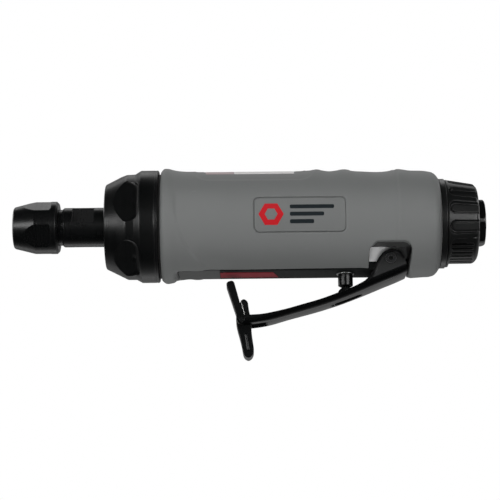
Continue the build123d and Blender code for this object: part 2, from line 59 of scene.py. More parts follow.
slot_of = {part["node"]: part["material_slot"] for part in record["subparts"]}


# ---------------------------------------------------------------- node helpers
class Graph:
    """Shorthand for a node tree. Apart from node(), what makes a node returns its output socket."""

    def __init__(self, tree):
        self.tree = tree
        tree.nodes.clear()

    def node(self, kind, inputs=None, **settings):
        node = self.tree.nodes.new(kind)
        for key, value in settings.items():
            setattr(node, key, value)
        for key, value in (inputs or {}).items():
            self.feed(node.inputs[key], value)
        return node

    def feed(self, socket, value):
        """Link a socket to an output, or set it to a number, a vector or an RGB colour."""
        if isinstance(value, bpy.types.NodeSocket):
            self.tree.links.new(value, socket)
        elif isinstance(value, tuple) and socket.type == "RGBA":
            socket.default_value = value + (1,)
        else:
            socket.default_value = value

    def math(self, operation, *values, clamp=False):
        inputs = dict(enumerate(values))
        return self.node("ShaderNodeMath", inputs, operation=operation, use_clamp=clamp).outputs[0]

    def add(self, first, second):
        return self.math("ADD", first, second)

    def mul(self, first, second, clamp=False):
        return self.math("MULTIPLY", first, second, clamp=clamp)

    def sub(self, first, second):
        return self.math("SUBTRACT", first, second)

    def above(self, value, limit):
        return self.math("GREATER_THAN", value, limit)

    def below(self, value, limit):
        return self.math("LESS_THAN", value, limit)

    def all_of(self, first, *others):
        """Product of masks."""
        for mask in others:
            first = self.mul(first, mask)
        return first

    def plus(self, base, extra, weight):
        return self.add(base, self.mul(extra, weight))

    def spread(self, value, span, low):
        """Stretch 0..1 to low..low + span."""
        return self.add(self.mul(value, span), low)

    def step(self, value, start, end):
        """Smooth step from 0 at start to 1 at end."""
        inputs = {"From Min": start, "From Max": end, "Value": value}
        node = self.node("ShaderNodeMapRange", inputs, interpolation_type="SMOOTHSTEP")
        return node.outputs["Result"]

    def axes(self, vector):
        return self.node("ShaderNodeSeparateXYZ", {"Vector": vector}).outputs


class Shader(Graph):
    """One procedural material round a Principled BSDF."""

    INPUTS = {"color": "Base Color", "metal": "Metallic", "rough": "Roughness",
              "normal": "Normal", "spec": "Specular IOR Level", "coat": "Coat Weight",
              "coat_rough": "Coat Roughness", "glow": "Emission Color",
              "glow_strength": "Emission Strength"}

    def __init__(self, name):
        self.material = data.materials.new(name)
        self.material.use_nodes = True
        super().__init__(self.material.node_tree)
        self.output = self.node("ShaderNodeOutputMaterial")
        self.principled = self.node("ShaderNodeBsdfPrincipled")
        self.feed(self.output.inputs["Surface"], self.principled.outputs["BSDF"])
        self.coords = self.node("ShaderNodeTexCoord").outputs["Object"]

    def stretched(self, stretch):
        inputs = {"Scale": stretch, "Vector": self.coords}
        return self.node("ShaderNodeMapping", inputs).outputs["Vector"]

    def noise(self, scale, detail, rough=0.55, stretch=(1, 1, 1), distortion=0.0):
        inputs = {"Vector": self.stretched(stretch), "Scale": scale, "Detail": detail,
                  "Roughness": rough, "Distortion": distortion}
        return self.node("ShaderNodeTexNoise", inputs).outputs["Fac"]

    def cells(self, scale):
        inputs = {"Vector": self.stretched((1, 1, 1)), "Scale": scale}
        return self.node("ShaderNodeTexVoronoi", inputs, feature="F1").outputs["Distance"]

    def ramp(self, value, start, end):
        """Linear ramp from black at start to white at end."""
        node = self.node("ShaderNodeValToRGB", {"Fac": value})
        low, high = node.color_ramp.elements
        low.position, low.color = start, (0, 0, 0, 1)
        high.position, high.color = end, (1, 1, 1, 1)
        return node.outputs["Color"]

    def mix(self, factor, first, second):
        inputs = {0: factor, 6: first, 7: second}
        return self.node("ShaderNodeMix", inputs, data_type="RGBA", blend_type="MIX").outputs[2]

    def bevel(self, radius):
        return self.node("ShaderNodeBevel", {"Radius": radius}, samples=4).outputs["Normal"]

    def edges(self):
        """1 along edges and 0 on open surface, whatever the mesh is like."""
        normal = self.node("ShaderNodeNewGeometry").outputs["Normal"]
        inputs = {0: self.bevel(radius=0.0003), 1: normal}
        dot = self.node("ShaderNodeVectorMath", inputs, operation="DOT_PRODUCT").outputs["Value"]
        threshold, gain = 0.985, 8.0
        return self.mul(self.sub(threshold, dot), gain, clamp=True)

    def bump(self, height, strength, distance, normal=None):
        inputs = {"Strength": strength, "Distance": distance, "Height": height}
        if normal is not None:
            inputs["Normal"] = normal
        return self.node("ShaderNodeBump", inputs).outputs["Normal"]

    def finish(self, **values):
        for key, value in values.items():
            self.feed(self.principled.inputs[self.INPUTS[key]], value)
        return self.material


def shade(color, factor, extra=0.0):
    return tuple(min(1, c * factor + extra) for c in color)


# ---------------------------------------------------------------- kinds of material
def black_metal(name, base, rough, edge, lines=0.0, metal=0.0, radius=0.00035,
                edge_wear_and_highlight=(0.32, 0.32, 0.33), corner_highlight=None):
    """Black oxide or anodised metal: turned lines, cloudy roughness, worn edges, scratches, and
    optionally a painted highlight on corners that a given mask picks out.
    """
    mat = Shader(name)
    cloud = mat.noise(scale=90, detail=4)
    fine = mat.noise(scale=2600, detail=2)
    scratch = mat.noise(scale=900, detail=2, stretch=(0.12, 1, 1))
    patchy = mat.noise(scale=700, detail=4)
    color = mat.mix(cloud, base, shade(base, 2.0))
    # pale edges: edge wear, and on the lever pin a painted highlight ring
    worn = mat.mul(mat.mul(mat.edges(), patchy), edge, clamp=True)
    color = mat.mix(worn, color, edge_wear_and_highlight)
    # pale corners where the mask says so: a painted highlight
    if corner_highlight:
        highlight_strength = mat.plus(0.55, patchy, weight=0.5)
        corner_glint = mat.mul(corner_highlight(mat), highlight_strength, clamp=True)
        color = mat.mix(corner_glint, color, (0.10, 0.102, 0.101))
    roughness = mat.spread(cloud, span=0.16, low=rough - 0.06)
    roughness = mat.plus(roughness, scratch, weight=0.05)
    height = mat.plus(mat.mul(fine, 0.35), scratch, weight=0.3)
    if lines:
        inputs = {"Scale": lines, "Distortion": 0.6, "Detail": 2.0, "Detail Scale": 3.0,
                  "Vector": mat.coords}
        wave = mat.node("ShaderNodeTexWave", inputs, wave_type="BANDS", bands_direction="X",
                        wave_profile="SIN").outputs["Fac"]
        height = mat.plus(height, wave, weight=1.3)
        turned = mat.noise(scale=2200, detail=3, stretch=(1, 0.01, 0.01))
        height = mat.plus(height, turned, weight=1.6)
        roughness = mat.plus(roughness, turned, weight=0.16)
    normal = mat.bump(height, strength=0.16, distance=0.00004, normal=mat.bevel(radius))
    return mat.finish(color=color, metal=metal, rough=roughness, normal=normal, spec=0.5)


def paint(name, base, rough, peel, fade=None):
    """Semi-gloss paint: orange peel and chips at the edges. An optional (z start, z end, colour)
    darkens it upwards as painted shade.
    """
    mat = Shader(name)
    peel_noise = mat.noise(scale=1100, detail=2)
    cloud = mat.noise(scale=60, detail=4)
    chips = mat.noise(scale=520, detail=6, rough=0.7)
    chipped = mat.mul(mat.edges(), mat.ramp(chips, start=0.52, end=0.6))
    worn = mat.mul(chipped, 0.18, clamp=True)
    color = mat.mix(cloud, base, shade(base, 1.8))
    # painted shade: darker towards the top
    if fade:
        start, end, top_shade_color = fade
        height = mat.axes(mat.coords)["Z"]
        color = mat.mix(mat.step(height, start, end), color, top_shade_color)
    color = mat.mix(worn, color, (0.28, 0.28, 0.29))
    roughness = mat.spread(cloud, span=0.14, low=rough - 0.05)
    normal = mat.bump(peel_noise, strength=peel, distance=0.00006, normal=mat.bevel(0.0005))
    return mat.finish(color=color, metal=0.0, rough=roughness, coat=0.12, coat_rough=0.14,
                      spec=0.36, normal=normal)


def bright_metal(name, base, rough, stretch=(1, 1, 1), grime=0.4, scale=900):
    """Machined or ground metal: directional lines with an uneven film of grime."""
    mat = Shader(name)
    lines = mat.noise(scale=scale, detail=3, stretch=stretch)
    dirt = mat.ramp(mat.noise(scale=120, detail=4), start=0.35, end=0.75)
    color = mat.mix(lines, shade(base, 0.82), base)
    color = mat.mix(mat.mul(dirt, grime), color, shade(base, 0.55))
    roughness = mat.spread(lines, span=0.22, low=rough - 0.1)
    roughness = mat.plus(roughness, dirt, weight=0.12)
    normal = mat.bump(lines, strength=0.22, distance=0.00004, normal=mat.bevel(0.00015))
    return mat.finish(color=color, metal=1.0, rough=roughness, normal=normal)


def moulded(name, base, rough, grain, depth, mottled, spec, radius=0.0002, rub=0.10,
            rim_highlight_color=None):
    """Moulded plastic: spark-eroded grain, faint flow mottling, worn edges and small scuffs; given a
    rim colour, the edges are instead painted pale as a painted highlight.
    """
    mat = Shader(name)
    pits = mat.cells(scale=grain)
    fine = mat.noise(scale=grain * 0.7, detail=3)
    flow = mat.noise(scale=26, detail=5, rough=0.6, distortion=0.8)
    patchy = mat.noise(scale=85, detail=4, rough=0.6)
    scuff_noise = mat.noise(scale=420, detail=5, rough=0.7, stretch=(0.35, 1, 1))
    scuffs = mat.ramp(scuff_noise, start=0.66, end=0.74)
    light = shade(base, 1 + mottled)
    color = mat.mix(flow, shade(base, 1 - mottled), light)
    color = mat.mix(mat.mul(patchy, 0.25), color, light)
    color = mat.mix(mat.mul(scuffs, rub), color, shade(base, 1.7, extra=0.02))
    edges = mat.edges()
    # pale edges in the rim colour: a painted highlight
    if rim_highlight_color:
        highlight_strength = mat.plus(0.4, patchy, weight=0.6)
        color = mat.mix(mat.mul(edges, highlight_strength), color, rim_highlight_color)
    else:
        color = mat.mix(mat.mul(edges, rub), color, shade(base, 1.8, extra=0.02))
    roughness = mat.spread(patchy, span=0.18, low=rough - 0.08)
    roughness = mat.sub(roughness, mat.mul(scuffs, 0.08))
    height = mat.plus(mat.mul(pits, 0.8), fine, weight=0.6)
    normal = mat.bump(height, strength=depth, distance=0.00005, normal=mat.bevel(radius))
    return mat.finish(color=color, rough=roughness, spec=spec, normal=normal)


def printed(name, base, rough=0.3, spec=0.5, coat=0.3):
    """Printed film: faint print grain and handling marks, under a clear coat if coat > 0."""
    mat = Shader(name)
    grain = mat.noise(scale=3200, detail=2)
    smear = mat.noise(scale=160, detail=4, distortion=0.6)
    color = mat.mix(grain, shade(base, 1 - 0.06), base)
    color = mat.mix(mat.mul(smear, 0.2), color, shade(base, 0.8))
    roughness = mat.spread(smear, span=0.2, low=rough - 0.08)
    normal = mat.bump(grain, strength=0.08, distance=0.00003)
    return mat.finish(color=color, rough=roughness, spec=spec, coat=coat, coat_rough=0.15,
                      normal=normal)


def hex_corners(mat):
    """Mask on the turned-down corners of the inlet hexagon, which get a painted highlight: a band of
    radii behind a station.
    """
    x, y, z = mat.axes(mat.coords)
    radius = mat.math("SQRT", mat.add(mat.mul(y, y), mat.mul(z, z)))
    return mat.all_of(mat.above(radius, 0.00891), mat.below(radius, 0.0094),
                      mat.above(x, 0.16845))


def housing_metal():
    """Bare machined metal, with a black coat round the deck and the lever pocket, and painted shade on
    the pocket ceiling and on the rear of the lug.
    """
    mat = Shader("housing_metal")
    x, y, z = mat.axes(mat.coords)
    normals = mat.axes(mat.node("ShaderNodeNewGeometry").outputs["True Normal"])
    pocket_x, deck_z = 0.1284, -0.0098  # front of the lever pocket, top of the coated zone

    # masks: flat sides of the pivot lug, coated zone, front end of the deck, pocket ceiling for painted
    # shade
    inner = mat.below(mat.math("ABSOLUTE", y), 0.0108)
    sideways = mat.above(mat.math("ABSOLUTE", normals["Y"]), 0.7)
    lug = mat.all_of(sideways, mat.above(z, -0.01555), mat.above(x, pocket_x), inner)
    deck = mat.all_of(mat.below(z, deck_z), mat.above(x, 0.0583), mat.below(x, 0.1460))
    dark = mat.mul(deck, mat.sub(1.0, lug), clamp=True)
    front = mat.all_of(mat.below(x, 0.0752), mat.below(z, -0.0165), dark)
    downward = mat.math("MAXIMUM", mat.below(normals["Z"], -0.6), mat.sub(1.0, inner))
    over_pocket = mat.all_of(mat.above(z, -0.0125), mat.above(x, pocket_x))
    ceiling = mat.all_of(downward, over_pocket, mat.below(x, 0.1445))

    lines = mat.noise(scale=700, detail=3, stretch=(1.6, 0.6, 0.6))
    cloud = mat.noise(scale=160, detail=4)
    grain = mat.cells(scale=1900)
    bright = mat.mix(lines, (0.93, 0.94, 0.94), (0.99, 0.99, 0.99))
    bright = mat.mix(mat.mul(cloud, 0.22), bright, (0.62, 0.62, 0.62))
    # rear of the lug darkened to grey: painted shade
    rear = mat.mul(mat.step(x, start=0.1375, end=0.1405), mat.below(z, deck_z))
    bright = mat.mix(rear, bright, (0.06, 0.062, 0.062))
    black = mat.mix(cloud, (0.006, 0.007, 0.007), (0.012, 0.0135, 0.0132))
    grey = mat.mix(cloud, (0.085, 0.088, 0.087), (0.11, 0.113, 0.112))
    # pocket ceiling colour: painted shade
    ceiling_painted_shade = mat.mix(cloud, (0.050, 0.052, 0.051), (0.072, 0.074, 0.073))
    color = mat.mix(front, mat.mix(dark, bright, black), grey)
    color = mat.mix(ceiling, color, ceiling_painted_shade)

    roughness = mat.plus(mat.plus(0.36, dark, weight=0.24), lines, weight=0.14)
    height = mat.plus(lines, grain, weight=dark)
    return mat.finish(
        color=color, metal=mat.mul(mat.sub(1.0, dark), 0.05), rough=roughness,
        spec=mat.sub(0.5, mat.mul(dark, 0.38)),
        normal=mat.bump(height, strength=0.22, distance=0.00004, normal=mat.bevel(0.00018)))


# material name: (kind, its values)
FINISHES = {
    "black_steel": (black_metal, dict(base=(0.0016, 0.0018, 0.0019), rough=0.17, lines=520, edge=0.10)),
    "black_anodised": (black_metal, dict(
        base=(0.0015, 0.0017, 0.0018), rough=0.20, lines=380, edge=0.08)),
    "black_painted_steel": (paint, dict(base=(0.0014, 0.0016, 0.0017), rough=0.27, peel=0.13)),
    # flat ear faces: the black paint made lighter as a painted sheen, darkening upwards as painted
    # shade
    "ear_face_steel": (paint, dict(
        base=(0.0125, 0.013, 0.013), rough=0.4, peel=0.35,
        fade=(-0.0185, -0.0125, (0.0022, 0.0024, 0.0024)))),
    # inlet hexagon: pale corners as a painted highlight
    "inlet_steel": (black_metal, dict(
        base=(0.0016, 0.0018, 0.0019), rough=0.22, lines=520, edge=0.10, corner_highlight=hex_corners)),
    # deflector: a pale rim colour paints the highlight on its edges
    "deflector_moulding": (moulded, dict(
        base=(0.0045, 0.0049, 0.0049), rough=0.36, grain=1900, depth=0.20, mottled=0.2,
        spec=0.5, radius=0.00012, rub=0.3, rim_highlight_color=(0.055, 0.056, 0.056))),
    # lever pin: full, pale edge wear paints the highlight ring round its head
    "pin_steel": (black_metal, dict(
        base=(0.014, 0.0145, 0.015), rough=0.3, edge=1.0, metal=0.5, radius=0.0004,
        edge_wear_and_highlight=(0.55, 0.55, 0.56))),
    "spring_steel": (bright_metal, dict(base=(0.56, 0.56, 0.55), rough=0.3)),
    "ground_steel": (bright_metal, dict(
        base=(0.6, 0.6, 0.61), rough=0.26, stretch=(4, 0.2, 0.2))),
    "bearing_steel": (bright_metal, dict(
        base=(0.68, 0.68, 0.7), rough=0.14, stretch=(3, 0.2, 0.2), grime=0.2)),
    "bare_aluminium": (bright_metal, dict(
        base=(0.86, 0.87, 0.87), rough=0.42, stretch=(1.6, 0.6, 0.6), grime=0.25, scale=700)),
    "cast_iron": (bright_metal, dict(base=(0.34, 0.34, 0.35), rough=0.45, grime=0.5)),
    "brass": (bright_metal, dict(base=(0.72, 0.53, 0.25), rough=0.3, grime=0.45)),
    "grey_composite": (moulded, dict(
        base=(0.172, 0.178, 0.176), rough=0.55, grain=2300, depth=0.22, mottled=0.07,
        spec=0.35)),
    "badge_print": (moulded, dict(
        base=(0.165, 0.171, 0.169), rough=0.42, grain=2600, depth=0.12, mottled=0.05,
        spec=0.4)),
    "black_composite": (moulded, dict(
        base=(0.005, 0.0054, 0.0054), rough=0.30, grain=1900, depth=0.20, mottled=0.2,
        spec=0.6, radius=0.0004)),
    "deck_black": (moulded, dict(
        base=(0.006, 0.0068, 0.0068), rough=0.4, grain=1700, depth=0.2, mottled=0.2,
        spec=0.4, rub=0.06)),
    "nitrile": (moulded, dict(
        base=(0.012, 0.012, 0.012), rough=0.6, grain=2600, depth=0.2, mottled=0.2, spec=0.3)),
    "felt": (moulded, dict(
        base=(0.075, 0.073, 0.070), rough=0.95, grain=1500, depth=0.9, mottled=0.15, spec=0.1)),
    "vane_laminate": (moulded, dict(
        base=(0.34, 0.2, 0.1), rough=0.6, grain=1300, depth=0.4, mottled=0.25, spec=0.3)),
    "label_film": (printed, dict(base=(0.82, 0.80, 0.79))),
    "label_tint": (printed, dict(base=(0.42, 0.30, 0.31))),
    "label_red": (printed, dict(base=(0.24, 0.014, 0.024), rough=0.6, spec=0.15, coat=0.0)),
    "mark_red": (printed, dict(base=(0.56, 0.006, 0.014), rough=0.5, spec=0.2, coat=0.0)),
    "mark_dark": (printed, dict(base=(0.008, 0.013, 0.016), rough=0.5, spec=0.2, coat=0.0)),
}
MAT = {name: build(name, **values) for name, (build, values) in FINISHES.items()}


# ---------------------------------------------------------------- mesh helpers
def new_object(name, content):
    ob = data.objects.new(name, content)
    scene.collection.objects.link(ob)
    return ob


def bare_object(name, verts, faces, validate=False):
    """Object from points in mm, with its normals turned outwards."""
    mesh = data.meshes.new(name)
    mesh.from_pydata([tuple(c * MM for c in v) for v in verts], [], faces)
    if validate:
        mesh.validate()
        mesh.update()
    bm = bmesh.new()
    bm.from_mesh(mesh)
    bmesh.ops.recalc_face_normals(bm, faces=bm.faces)
    bm.to_mesh(mesh)
    bm.free()
    return new_object(name, mesh)


def smooth_shading(ob, angle):
    ob.data.shade_smooth()
    ob.data.set_sharp_from_angle(angle=math.radians(angle))


def add_piece(name, verts, faces, mat, slot, angle, body="housing", replaces=None):
    ob = bare_object(name, verts, faces, validate=True)
    ob.data.materials.append(MAT[mat])
    smooth_shading(ob, angle)
    if body:
        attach(ob, body)
    if replaces:
        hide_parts(replaces)
    return ob


def around(x, radius, angle):
    return (x, radius * math.sin(angle), radius * math.cos(angle))


def between(first, second, t):
    return tuple(a + (b - a) * t for a, b in zip(first, second))


def ease(start, end, value):
    """Smooth step from 0 at start to 1 at end."""
    t = np.clip((value - start) / (end - start), 0, 1)
    return t * t * (3 - 2 * t)


def rounded_drop(t):
    """Drop of a quarter-round edge: 0 at t = 0, 1 at t = 1."""
    return 1 - np.sqrt(np.maximum(0, 1 - t**2))


def linear(stations, x):
    return np.interp(x, *zip(*stations))


def cubic(stations, x):
    """Smooth cubic through (place, value) stations."""
    places, values = (np.array(column, float) for column in zip(*stations))
    slopes = np.gradient(values, places)
    i = np.clip(np.searchsorted(places, x) - 1, 0, len(places) - 2)
    h = places[i + 1] - places[i]
    t = np.clip((x - places[i]) / h, 0, 1)
    return ((2 * t**3 - 3 * t**2 + 1) * values[i] + (t**3 - 2 * t**2 + t) * h * slopes[i]
            + (-2 * t**3 + 3 * t**2) * values[i + 1] + (t**3 - t**2) * h * slopes[i + 1])


def spline(points, steps=10):
    """Curve through points in a plane, spaced by chord length."""
    points = np.array(points, float)
    lengths = [np.hypot(*(b - a)) for a, b in zip(points, points[1:])]
    place = np.concatenate([[0], np.cumsum(lengths)])
    at = np.linspace(0, place[-1], steps * (len(points) - 1) + 1)
    return np.stack([cubic(list(zip(place, column)), at) for column in points.T], 1)


def polygon_distance(px, pz, polygon):
    """Signed distance to a closed polygon, positive outside."""
    polygon = np.array(polygon, float)
    distance = np.full(px.shape, 1e9)
    inside = np.zeros(px.shape, bool)
    for i, start in enumerate(polygon):
        end = polygon[(i + 1) % len(polygon)]
        ex, ez = end - start
        wx, wz = px - start[0], pz - start[1]
        t = np.clip((wx * ex + wz * ez) / (ex * ex + ez * ez), 0, 1)
        distance = np.minimum(distance, np.hypot(wx - ex * t, wz - ez * t))
        spans = (start[1] > pz) != (end[1] > pz)
        with np.errstate(divide="ignore", invalid="ignore"):
            hit = start[0] + (pz - start[1]) / (end[1] - start[1] + 1e-12) * ex
        inside ^= spans & (px < hit)
    return np.where(inside, -distance, distance)


def box_distance(u, v, mid_u, mid_v, half_u, half_v, corner):
    """Signed distance to a rectangle with round corners, positive outside."""
    du, dv = np.abs(u - mid_u) - half_u + corner, np.abs(v - mid_v) - half_v + corner
    outside = np.hypot(np.maximum(du, 0), np.maximum(dv, 0))
    return outside + np.minimum(np.maximum(du, dv), 0) - corner


def clip_grid(distance, rows, columns, wrap, add_cut):
    """Grid faces where distance > 0, trimmed where it crosses zero.

    add_cut(a, b) makes the point between two grid points and returns its number.
    Returns (row, face) pairs and the cuts by grid edge.
    """
    cuts, faces = {}, []
    for i in range(rows - 1):
        for j in range(columns if wrap else columns - 1):
            k = (j + 1) % columns
            quad = [i * columns + j, (i + 1) * columns + j, (i + 1) * columns + k, i * columns + k]
            face = []
            for a, b in zip(quad, quad[1:] + quad[:1]):
                if distance[a] > 0:
                    face.append(a)
                if (distance[a] > 0) != (distance[b] > 0):
                    key = (min(a, b), max(a, b))
                    if key not in cuts:
                        cuts[key] = add_cut(a, b)
                    face.append(cuts[key])
            if len(face) >= 3:
                faces.append((i, face))
    return faces, cuts


def numbering(faces, start=0):
    """New numbers for the points the faces use, in their old order."""
    return {v: k for k, v in enumerate(sorted({v for f in faces for v in f}), start)}


def edges_of(faces):
    return ((a, b) for f in faces for a, b in zip(f, f[1:] + f[:1]))


def open_edges(edges):
    return [(a, b) for a, b in edges if (b, a) not in edges]


def two_skin_faces(sections, size):
    """Faces of a bar whose sections each hold an outer and an inner line of size points."""
    faces = []
    stride = 2 * size
    for i in range(sections - 1):
        o, p = i * stride, (i + 1) * stride
        for k in range(size - 1):
            faces.append([o + k, o + k + 1, p + k + 1, p + k])
            faces.append([o + size + k + 1, o + size + k, p + size + k, p + size + k + 1])
        faces.append([o + size, o, p, p + size])
        faces.append([o + size - 1, o + stride - 1, p + stride - 1, p + size - 1])
    for o in (0, (sections - 1) * stride):
        for k in range(size - 1):
            faces.append([o + k, o + k + 1, o + size + k + 1, o + size + k])
    return faces


# ---------------------------------------------------------------- grip sleeve
SLEEVE_FRONT, SLEEVE_REAR = 54.15, 155.15
SLEEVE_BORE = 17.66  # inner radius
BORE_END = 154.1     # the bore stops here, ahead of the rear rim
ARC_RADIUS = 19.8    # turns an angle into a width along the surface

# (x, radius) of the sleeve along its top, bottom and sides
SLEEVE_TOP = [
    (54.1, 19.9), (54.8, 20.85), (56.5, 21.2), (58.5, 20.7), (60, 20.4), (63, 20.1),
    (68, 20.1), (74, 20.05), (82, 20.05), (101, 20.05), (104, 20.05), (111, 20.3),
    (116, 19.7), (118.5, 20.0), (122, 20.1), (124.2, 19.7), (127, 19.5), (136.6, 19.46),
    (137.6, 19.62), (138.8, 20.05), (145, 19.65), (151.6, 19.2), (153.0, 18.85),
    (154.2, 18.0), (155.2, 16.7)]
SLEEVE_BOTTOM = [
    (54.1, 19.9), (55, 20.7), (58, 20.8), (61, 20.1), (64, 19.8), (67, 20.1), (71, 19.5),
    (75, 19.6), (94, 19.6), (105, 19.5), (116, 19.5), (130, 19.5), (138, 19.8), (144, 19.9),
    (149, 19.6), (152.4, 19.3), (153.4, 18.9), (154.4, 17.9), (155.2, 16.7)]
SLEEVE_SIDE = [
    (54.1, 19.9), (54.8, 20.75), (56.5, 21.0), (60, 20.45), (64, 20.1), (74, 20.0),
    (90, 19.85), (105, 19.85), (120, 19.8), (137.5, 19.75), (140.2, 19.95), (145, 19.75),
    (151.6, 19.3), (153.2, 18.95), (154.4, 18.0), (155.2, 16.7)]
# stations added to the even ones, where the outline turns quickly
EXTRA_STATIONS = [54.25, 54.4, 54.6, 139.6, 139.9, 140.2, 154.4, 154.6, 154.85, 155.0, 155.1]
# (x, radius) of the rim behind the sleeve's rear edge, from outside to inside
REAR_RIM = [(155.2, 16.2), (155.2, 15.25), (BORE_END, 15.2)]
# raised ovals on top: x, half length, half width
OVALS = [(106.5, 1.1, 2.2), (111.4, 2.0, 2.6), (121.2, 3.4, 3.0)]

BADGE_X, BADGE_Z, BADGE_LENGTH, BADGE_HEIGHT = 104.2, -0.6, 32.4, 12.5
BADGE_GAP, BADGE_CORNER = 0.2, 1.5  # clearance round the badge, its corner radius
BADGE_LIP = 0.35                    # roll of the recess's edge

DECK_X, DECK_HALF_LENGTH, DECK_HALF_WIDTH = 101.6, 41.55, 7.12
DECK_FRONT = DECK_X - DECK_HALF_LENGTH
POCKET_TOP = -10.25
# (x, z) outline of the opening for the lever's ears, through both sides
POCKET = [
    (129.0, -26), (129.0, -13.3), (129.3, -12.6), (131.3, -10.6), (132.0, POCKET_TOP),
    (141.3, POCKET_TOP), (142.6, -10.6), (143.6, -11.5), (144.2, -12.9), (144.2, -14.5),
    (143.5, -20.0), (143.4, -26)]


def recess_distance(x, y, z):
    """Distance to the badge's recess, which is on the -Y side only."""
    inside = box_distance(x, z, BADGE_X, BADGE_Z, BADGE_LENGTH / 2 + BADGE_GAP,
                          BADGE_HEIGHT / 2 + BADGE_GAP, BADGE_CORNER + BADGE_GAP)
    return np.where(y < 0, inside, FAR)


def opening_distance(x, y, z):
    """Distance to the deck slot underneath or the lever pocket, whichever is nearer."""
    slot = box_distance(x, y, DECK_X, 0, DECK_HALF_LENGTH, DECK_HALF_WIDTH, corner=1.7)
    return np.minimum(np.where(z < -5, slot, FAR), polygon_distance(x, z, POCKET))


def lip_radius(x):
    """Edges are rolled softly along the deck and tighter round the lever pocket."""
    return 0.75 - 0.4 * ease(126.0, 128.5, x)


def sleeve_radius(x, angle, with_badge=True):
    """Outer radius of the sleeve."""
    angle = np.where(angle > math.pi, angle - 2 * math.pi, angle)
    up, sideways = np.cos(angle), np.sin(angle)
    side = cubic(SLEEVE_SIDE, x)
    radius = (side + (cubic(SLEEVE_TOP, x) - side) * np.clip(up, 0, 1) ** 1.6
              + (cubic(SLEEVE_BOTTOM, x) - side) * np.clip(-up, 0, 1) ** 1.6)
    arc = angle * ARC_RADIUS
    # sunk label panel across the top, and the wider shallow sink round it
    panel = box_distance(x, arc, 86.5, 0, half_u=16.6, half_v=11.0, corner=1.4)
    radius = radius - 0.10 * ease(0.25, -0.1, panel)
    surround = box_distance(x, arc, 88.0, 0, half_u=21.0, half_v=16.3, corner=5.0)
    radius = radius - 0.20 * ease(0.7, -0.5, surround)
    # moulded finger relief near the front, both sides; its front edge sweeps back as it descends
    below_side = np.degrees(np.abs(angle)) - 90.0
    start = 59.6 + np.clip((below_side + 12) / 68.0, 0, 1.3) ** 2 * 9.0
    lobe = ease(-28, -6, below_side) * ease(72, 50, below_side)
    radius = radius - (0.42 * ease(start - 0.9, start + 0.4, x)
                       * ease(start + 22, start + 3, x) * lobe)
    # fine ring where the raised rear band starts
    radius = radius - 0.22 * np.exp(-((x - 139.3) / 0.65) ** 2)
    # flat facet either side of the deck, with a bevelled U at its front end
    flat = 18.5 / np.maximum(-up, 0.2)
    depth = ease(58.2, 60.6, x) * ease(145.0, 143.0, x)
    cut = np.minimum(radius, flat * depth + radius * (1 - depth))
    near_deck = (np.abs(radius * sideways) < 9.5) & (up < -0.5)
    radius = np.where(near_deck, cut, radius)
    for mid_x, half_length, half_width in OVALS:
        oval = ((x - mid_x) / half_length) ** 2 + (arc / half_width) ** 2
        radius = radius + 0.42 * ease(1.25, 0.7, oval)
    if with_badge:
        recess = recess_distance(x, radius * sideways, radius * up)
        drop = BADGE_LIP * rounded_drop(np.clip(1 - recess / BADGE_LIP, 0, 1))
        radius = np.where((recess < BADGE_LIP) & (recess > 0), radius - drop, radius)
        recess_floor = 18.99 + 0.5 * ease(-0.12, 0.0, recess)
        radius = np.where(recess <= 0, np.minimum(radius, recess_floor), radius)
    return radius


def bore_angle(angle, y, z, x):
    """Angle in the bore that keeps the walls of the openings square."""
    if abs(z - POCKET_TOP) < 1.2 and abs(y) > 10:  # top of the pocket: keep the height
        z = max(-17.0, z)
        return math.atan2(math.copysign(math.sqrt(SLEEVE_BORE**2 - z**2), y), z)
    if abs(y) < 7.6 and z < -10 and abs(x - DECK_FRONT) > 1.0:  # deck sides: keep the width
        y = max(-DECK_HALF_WIDTH, min(DECK_HALF_WIDTH, y))
        return math.atan2(y, -math.sqrt(SLEEVE_BORE**2 - y**2))
    return angle


